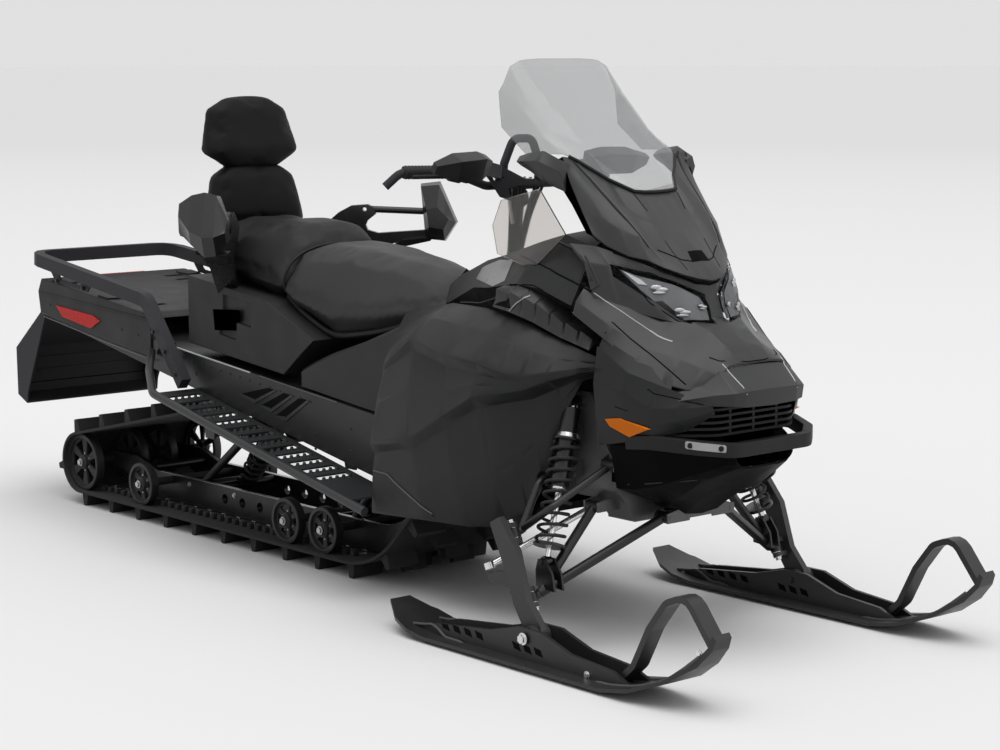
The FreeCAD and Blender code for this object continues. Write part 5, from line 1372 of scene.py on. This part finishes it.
    def ridge_highlights(self) -> None:
        """Painted highlights: thin pale lines along the cowl's ridges and down the nose."""
        ridge = [(-231, -1030, 858), (-213, -1067, 833), (-198, -1111, 808), (-183, -1139, 789),
                 (-165, -1173, 766), (-148, -1207, 751)]
        end = [(-172, -1160, 774), (-159, -1188, 758), (-146, -1210, 750)]
        snout = [(-100, -1329, 705), (-92, -1372, 667), (-84, -1386, 640)]
        seam("cowl_lines", ridge, ["hood"], 0.0013, PAINTED_HIGHLIGHT)
        seam("cowl_line_ends", end, ["hood"], 0.0024, PAINTED_HIGHLIGHT)
        seam("nose_lines", snout, ["hood", "nose"], 0.0016, PAINTED_HIGHLIGHT)

    def shadow_gaps(self) -> None:
        """Dark gaps where panels meet or fold: fairing, cowl, nose and console."""
        lines = {
            "fairing_gap": ([(-145, -918, 991), (-165, -985, 969), (-161, -1062, 951), (-110, -1141, 917),
                             (-38, -1181, 880), (0, -1189, 876)], ("console", "hood", "fairing"), 0.0032),
            "lamp_gap": ([(-194, -1063, 918), (-159, -1108, 905), (-132, -1119, 906), (-92, -1164, 885),
                          (-40, -1198, 854), (-28, -1214, 828), (-33, -1230, 790), (-105, -1192, 793),
                          (-150, -1137, 837), (-162, -1116, 866), (-190, -1070, 905)],
                         ("hood", "headlamps"), 0.0013),
            "cowl_scallop": ([(-233, -1095, 794), (-221, -1144, 759), (-205, -1195, 725), (-191, -1248, 689),
                              (-179, -1288, 660)], ("hood",), 0.0017),
            "plateau_gap": ([(-110, -1297, 718), (-99, -1321, 711), (-33, -1342, 706), (0, -1345, 706)],
                            ("hood", "nose"), 0.0015),
            "nose_gap": ([(-247, -1231, 650), (-242, -1246, 640), (-185, -1308, 624), (-140, -1340, 618)],
                         ("nose_sides", "hood"), 0.0013),
            "panel_gap": ([(-181, -1304, 562), (-150, -1325, 580), (-128, -1338, 598)],
                          ("nose_sides",), 0.001),
            "facet_gap": ([(-276, -1150, 602), (-271, -1190, 596), (-247, -1232, 648)],
                          ("nose_sides",), 0.0011),
            "cowl_gap": ([(-209, -746, 927), (-245, -915, 897), (-236, -1000, 870), (-232, -1024, 862)],
                         ("console", "hood"), 0.0022),
            "gill_gap": ([(-273, -775, 862), (-275, -863, 867), (-277, -896, 858), (-256, -951, 822),
                          (-251, -1094, 769)], ("console", "hood"), 0.0016),
        }
        for name, (path, nodes, radius) in lines.items():
            seam(name, path, nodes, radius, PAINTED_SHADE)

    def cowl_inset(self) -> None:
        """Dark four-cornered inset in each side of the cowl, with its raised rim."""
        tree = skin("hood", "console")
        shape = bmesh.new()
        outline = [(-214, -800, 936), (-200, -866, 970), (-212, -940, 965), (-226, -988, 940),
                   (-225, -1024, 884), (-236, -985, 880)]
        draped(shape, outline, tree, (-0.95, -0.15, 0.3), 0.0006, 0.003)
        both_hands(shape)
        show("cowl_insets", shape, DECK)
        rim = [(-210, -880, 972), (-219, -950, 962), (-226, -998, 940), (-224, -1018, 912),
               (-220, -1036, 878), (-232, -1026, 868)]
        # A line of painted shade runs just inside the rim's upper part.
        gap = [(x + 1, y + 7, z - 3) for x, y, z in rim[:4]]
        seam("cowl_inset_rims", rim, ["hood", "console"], 0.003, COWL, 0.0008)
        seam("cowl_inset_gaps", gap, ["hood", "console"], 0.0014, PAINTED_SHADE)

    def cowl_end(self) -> None:
        """Pale gloss end of the cowl behind each deflector."""
        shape = bmesh.new()
        outline = [(-211, -577, 857), (-192, -580, 884), (-196, -652, 909), (-214, -720, 914),
                   (-262, -740, 868), (-256, -700, 846)]
        draped(shape, outline, skin("console"), (-0.85, 0.1, 0.5), 0.001, 0.003)
        both_hands(shape)
        show("cowl_ends", shape, PEARL)

    def grille_back(self) -> None:
        """Painted shade: a near-black wall behind the grille's slats, and two more below it that step back.
        """
        shape = bmesh.new()
        right = [(-214, -1150), (-204, -1240), (-160, -1288), (-88, -1322)]
        line = right + [(-x, y) for x, y in right[::-1]]
        for low, high, back in ((500, 604, 0), (452, 502, 34), (405, 454, 72)):
            rows = [[shape.verts.new(at(x, y + back, z)) for x, y in line] for z in (low, high)]
            for a, b, c, d in zip(rows[0], rows[0][1:], rows[1][1:], rows[1]):
                shape.faces.new((a, b, c, d))
        bmesh.ops.solidify(shape, geom=shape.faces[:], thickness=0.003)
        bmesh.ops.recalc_face_normals(shape, faces=shape.faces)
        show("grille_back", shape, PAINTED_SHADE)

    def belly_slots(self) -> None:
        """Two rows of air slots in the belly pan as painted shade, with painted highlights on their lips and
        its pressed creases.
        """
        tree = skin("belly_pan")
        shape = bmesh.new()
        for i in range(3):
            z = 483 - i * 11
            draped(shape, [(-129, -1340, z), (-40, -1366, z + 2), (-40, -1366, z - 3), (-126, -1340, z - 5)],
                   tree, (-0.2, -1, 0), 0.0006, 0.003)
        both_hands(shape)
        show("belly_slots", shape, PAINTED_SHADE)
        for i in range(2):
            z = 477.5 - i * 11
            seam(f"belly_slot_edge_{i}", [(-118, -1343, z), (-42, -1366, z + 3)], ["belly_pan"], 0.0011, FLAP)
        high = [(-234, -1154, 411), (-206, -1234, 423), (-144, -1294, 431)]
        seam("belly_crease_high", high, ["belly_pan"], 0.0018, FLAP)
        seam("belly_crease_low", [(-152, -1207, 379), (-55, -1248, 380)], ["belly_pan"], 0.0015, FLAP)

    def toe_guards(self) -> None:
        """Three-cornered toe guard on each panel's lower rear, with a painted highlight along its edge."""
        tree = skin("side_panel_right")
        shape = bmesh.new()
        outline = [(-386, -372, 356), (-386, -431, 354), (-395, -520, 300), (-395, -585, 262),
                   (-386, -460, 252), (-376, -366, 250)]
        draped(shape, outline, tree, (-1, 0, 0), 0.002, 0.004)
        both_hands(shape)
        show("toe_guards", shape, DECK)
        edge = [(-386, -372, 357), (-386, -431, 355), (-395, -520, 301), (-395, -588, 261)]
        seam("toe_guard_edges", edge, ["side_panel_right"], 0.0022, DIM_PAINTED_HIGHLIGHT, 0.0015)

    def inlet_edges(self) -> None:
        """Painted shade in pockets and painted highlights on the edges at the rear of the air inlets and on
        the console's edges.
        """
        vents = carried("side_vents", 0.0)
        self.tucked(vents)
        tree = BVHTree.FromBMesh(vents)
        vents.free()
        dark = bmesh.new()
        draped(dark, [(-299, -745, 812), (-303, -806, 832), (-305, -812, 808)], tree, (-0.8, -0.1, 0.6),
               0.0015, 0.003)
        both_hands(dark)
        show("vent_pockets", dark, PAINTED_SHADE)
        edge = laid([(-305, -812, 802), (-305, -834, 822), (-302, -862, 838), (-292, -872, 848)], tree, 0.002)
        strand("vent_edges", across([edge]), 0.0017, PAINTED_HIGHLIGHT)
        console_highlight = [(-194, -495, 790), (-199, -576, 795), (-260, -690, 806)]
        seam("console_edges", console_highlight, ["console"], 0.0018, DIM_PAINTED_HIGHLIGHT)

    def plate(self) -> None:
        """Blank bright plate on the bumper's right arm, held by two dark bolts."""
        tree = skin("front_bumper")
        shape, bolts = bmesh.new(), bmesh.new()
        start, end = Vector((-214, -1322, 526)), Vector((-148, -1391, 517))
        out = Vector((-0.72, -0.69, 0.05))
        corners = [(0, -6), (0, 6), (0.04, 9), (0.96, 9), (1, 6), (1, -6), (0.96, -9), (0.04, -9)]
        outline = [start.lerp(end, share) + Vector((0, 0, up)) for share, up in corners]
        draped(shape, outline, tree, out, 0.003, 0.003, 0.012)
        for share in (0.13, 0.87):
            spot = tree.find_nearest(start.lerp(end, share) / 1000)[0]
            hex_bolt(bolts, spot + out * 0.003, out, 0.0048, 0.003)
        show("bumper_plate", shape, PLATE)
        show("bumper_plate_bolts", bolts, TRIM)

    def gauge_face(self) -> None:
        """Dark glass of the gauge, facing the rider."""
        shape = bmesh.new()
        block(shape, at(-72, -842, 990), at(72, -834, 1026), 0.003)
        show("gauge_glass", shape, SCREEN_GLASS)


@dataclass
class FrontSuspension:
    """Bulkhead, arms, dampers, spindles, tie rods and skis, with their places in mm."""

    stance: float = 463.0
    shock_top: tuple[float, float, float] = (-240.0, -972.0, 590.0)
    shock_low: tuple[float, float, float] = (-380.0, -1028.0, 226.0)
    king_top: tuple[float, float, float] = (-428.0, -965.0, 290.0)
    king_low: tuple[float, float, float] = (-428.0, -1030.0, 145.0)

    def build(self) -> None:
        """Makes every piece of the assembly."""
        dressed("bulkhead", SHEET, 0.0012)
        for side in SIDES:
            dressed(f"upper_arm_{side}", BLACK_PAINT, 0.001)
            dressed(f"lower_arm_{side}", BLACK_PAINT, 0.001)
            dressed(f"spindle_{side}", FORGED, 0.0025, f"spindle_{side}")
            dressed(f"tie_rod_{side}", BRIGHT, 0.001, f"tie_rod_{side}")
            dressed(f"ski_{side}", SKI, 0.0025, f"ski_{side}")
            self.shock(side)
            self.ski_fittings(side)
            self.spindle_fittings(side)

    def way(self, side: str) -> int:
        """Sign of X relative to the right side, on which places are given."""
        return 1 if side == "right" else -1

    def spot(self, side: str, x: float, y: float, z: float) -> Vector:
        """A point given for the right side, on either side, in metres."""
        return at(self.way(side) * x, y, z)

    def shock(self, side: str) -> None:
        """Coil-over damper in place of the plain one: bowl, collar, body, rod and wound spring.

        Args:
            side: right or left.
        """
        low, top = self.spot(side, *self.shock_low), self.spot(side, *self.shock_top)
        along = (top - low).normalized()
        whole = (top - low).length
        eye_axis = Vector((1, 0, 0))
        body, bright, spring = bmesh.new(), bmesh.new(), bmesh.new()
        drum(body, low + along * whole * 0.46, low + along * whole * 0.76, 0.022, 32, edge=0.001)
        drum(body, low + along * whole * 0.79, low + along * whole * 0.955, 0.0255, 32, edge=0.003)
        drum(body, low + along * whole * 0.75, low + along * whole * 0.765, 0.036, 32, edge=0.0015)
        drum(body, low + along * 0.034, low + along * 0.043, 0.039, 32, edge=0.0015)
        drum(body, top - eye_axis * 0.013, top + eye_axis * 0.013, 0.0135, 24, edge=0.001)
        drum(body, low - eye_axis * 0.0095, low + eye_axis * 0.0095, 0.013, 24, edge=0.001)
        drum(bright, low + along * whole * 0.755, low + along * whole * 0.795, 0.029, 32, tip=0.027,
             edge=0.001)
        drum(bright, low + along * 0.01, low + along * whole * 0.47, 0.0075, 20)
        drum(bright, low + along * whole * 0.445, low + along * whole * 0.46, 0.018, 24, edge=0.001)
        drum(bright, top + along * 0.004 - along * 0.03, top + along * 0.004 - along * 0.012, 0.012, 20,
             edge=0.001)
        coil(spring, low + along * 0.05, low + along * whole * 0.745, 0.034, 0.0042, 9)
        show(f"shock_{side}.body", body, DAMPER, CHASSIS, [f"shock_{side}"])
        show(f"shock_{side}.bright", bright, BRIGHT)
        show(f"shock_{side}.spring", spring, BAR)

    def ski_fittings(self, side: str) -> None:
        """Bolts of a ski, with its pockets and rims.

        Args:
            side: right or left.
        """
        shape = bmesh.new()
        out = Vector((-self.way(side), 0, 0))
        hex_bolt(shape, self.spot(side, -self.stance - 43, -1085, 68), out, 0.011, 0.008)
        for x, y, z in ((-501, -1299, 24), (-490, -1640, 138)):
            hex_bolt(shape, self.spot(side, x, y, z), out, 0.007)
        show(f"ski_{side}.bolts", shape, BRIGHT, f"ski_{side}")
        self.ski_relief(side)

    def ski_relief(self, side: str) -> None:
        """Painted shade in rib pockets on a ski's flanks, and its lighter rims.

        Args:
            side: right or left.
        """
        tree = skin(f"ski_{side}")
        pockets, way = bmesh.new(), self.way(side)
        for y in (-780, -822, -864, -906, -1040, -1078, -1116):
            for x, out in ((-501, -1), (-425, 1)):
                outline = [(way * x, y, 54), (way * x, y - 24, 50), (way * x, y - 32, 34),
                           (way * x, y - 8, 38)]
                draped(pockets, outline, tree, (way * out, 0, 0), 0.0008, 0.002)
        show(f"ski_{side}.pockets", pockets, PAINTED_SHADE, f"ski_{side}")
        rim = ((-690, 60), (-800, 20), (-1000, 2), (-1200, 2), (-1400, 20), (-1560, 80), (-1640, 140))
        rims = [laid([(way * x, y, z) for y, z in rim], tree, 0.0, 0.03) for x in (-505, -421)]
        strand(f"ski_{side}.rims", rims, 0.0042, SKI_RIM, f"ski_{side}")

    def spindle_fittings(self, side: str) -> None:
        """Nuts and bushes at both ends of a spindle's kingpin.

        Args:
            side: right or left.
        """
        shape = bmesh.new()
        king = (Vector(self.king_top) - Vector(self.king_low)).normalized()
        for end, way in ((self.king_top, 1), (self.king_low, -1)):
            spot = self.spot(side, *end)
            hex_bolt(shape, spot + king * way * 0.025, king * way, 0.009, 0.007)
            drum(shape, spot - king * 0.016, spot + king * 0.016, 0.0125, 24, edge=0.001)
        show(f"spindle_{side}.nuts", shape, BRIGHT, f"spindle_{side}")


@dataclass
class SteeringAssembly:
    """Post, bar, grips, levers and hand guards. The grips' ends are on the left side, in mm."""

    body: str = "steering"
    grip_inner: tuple[float, float, float] = (222.0, -484.0, 1124.1)
    grip_outer: tuple[float, float, float] = (345.0, -450.0, 1125.8)
    ribs: int = 14

    def build(self) -> None:
        """Makes every piece of the assembly."""
        dressed("steering_post", BAR, 0.001, self.body)
        dressed("handlebar", BAR, 0.0012, self.body)
        dressed("hand_guards", BODY, 0.004, self.body, crease=25)
        self.grips()
        self.controls()
        self.bracket()
        self.post_wires()

    def bracket(self) -> None:
        """Pierced arm beside the middle of the bar."""
        shape = bmesh.new()
        outer = [(-168, 1141), (-96, 1137), (-59, 1123), (30, 1084), (-40, 1085), (-68, 1069), (-52, 1044),
                 (-96, 1058), (-132, 1102)]
        inner = [(-130, 1119), (-84, 1107), (-118, 1100)]
        for line in (outer, inner):
            ring = [shape.verts.new(at(x, -540, z)) for x, z in line]
            for a, b in zip(ring, ring[1:] + ring[:1]):
                shape.edges.new((a, b))
        bmesh.ops.triangle_fill(shape, use_beauty=True, edges=shape.edges[:])
        bmesh.ops.solidify(shape, geom=shape.faces[:], thickness=0.007)
        soften(shape, 0.0015)
        show("guard_bracket", shape, FLAP, self.body)

    def post_wires(self) -> None:
        """Brake line's bright end and the wires strapped along the steering post."""
        paths = [[at(x, -540, 1082), at(x * 0.7, -522, 1030), at(x * 0.5, -506, 970), at(x * 0.4, -494, 915)]
                 for x in (-66, -52, -43, -30, -18, 22, 34, 48)]
        strand("post_wires", paths, 0.0042, TRIM, self.body)
        strand("brake_line_end", [[at(-63, -536, 1046), at(-46, -530, 987)]], 0.0042, ALUMINIUM, self.body,
               smooth=False)

    def on_side(self, side: int, spot: Spot) -> Vector:
        """A point given for the left side, on either side, in metres."""
        return at(side * spot[0], spot[1], spot[2])

    def grips(self) -> None:
        """Ribbed rubber round the bar's ends."""
        shape = bmesh.new()
        for side in SIGNS:
            inner, outer = self.on_side(side, self.grip_inner), self.on_side(side, self.grip_outer)
            for i in range(self.ribs):
                start, end = inner.lerp(outer, i / self.ribs), inner.lerp(outer, (i + 0.55) / self.ribs)
                drum(shape, start, end, 0.0175, 20, edge=0.0008)
        show("grip_ribs", shape, GRIP, self.body)

    def controls(self) -> None:
        """Switch housings, levers and the clamp's bolts."""
        shape, bolts = bmesh.new(), bmesh.new()
        for side in SIGNS:
            inner = self.on_side(side, self.grip_inner)
            run = (at(side * 120, -508, 1100) - inner).normalized()
            drum(shape, inner, inner + run * 0.034, 0.023, 24, edge=0.003)
            drum(shape, inner + run * 0.04, inner + run * 0.056, 0.019, 24, edge=0.002)
            lever = [inner + run * 0.03 + Vector((0, -0.02, 0)), at(side * 240, -526, 1118),
                     at(side * 300, -512, 1116), at(side * 352, -496, 1116)]
            strand(f"lever_{'right' if side < 0 else 'left'}", [lever], 0.0055, TRIM, self.body)
            for y in (-520, -497):
                hex_bolt(bolts, at(side * 22, y, 1100), Vector((0, 0, 1)), 0.005)
        show("switch_blocks", shape, TRIM, self.body)
        show("clamp_bolts", bolts, BRIGHT, self.body)


def main() -> None:
    """Builds the studio and each assembly in order, and logs each assembly once it is built."""
    logging.basicConfig(level=logging.INFO, format="%(message)s")
    bpy.context.scene.view_settings.view_transform = "Standard"
    for part in (Studio(), TrackAssembly(), TunnelAssembly(), SeatAssembly(), BodyAssembly(),
                 FrontSuspension(), SteeringAssembly()):
        part.build()
        LOG.info("built %s", type(part).__name__)


if __name__ == "__main__":
    main()
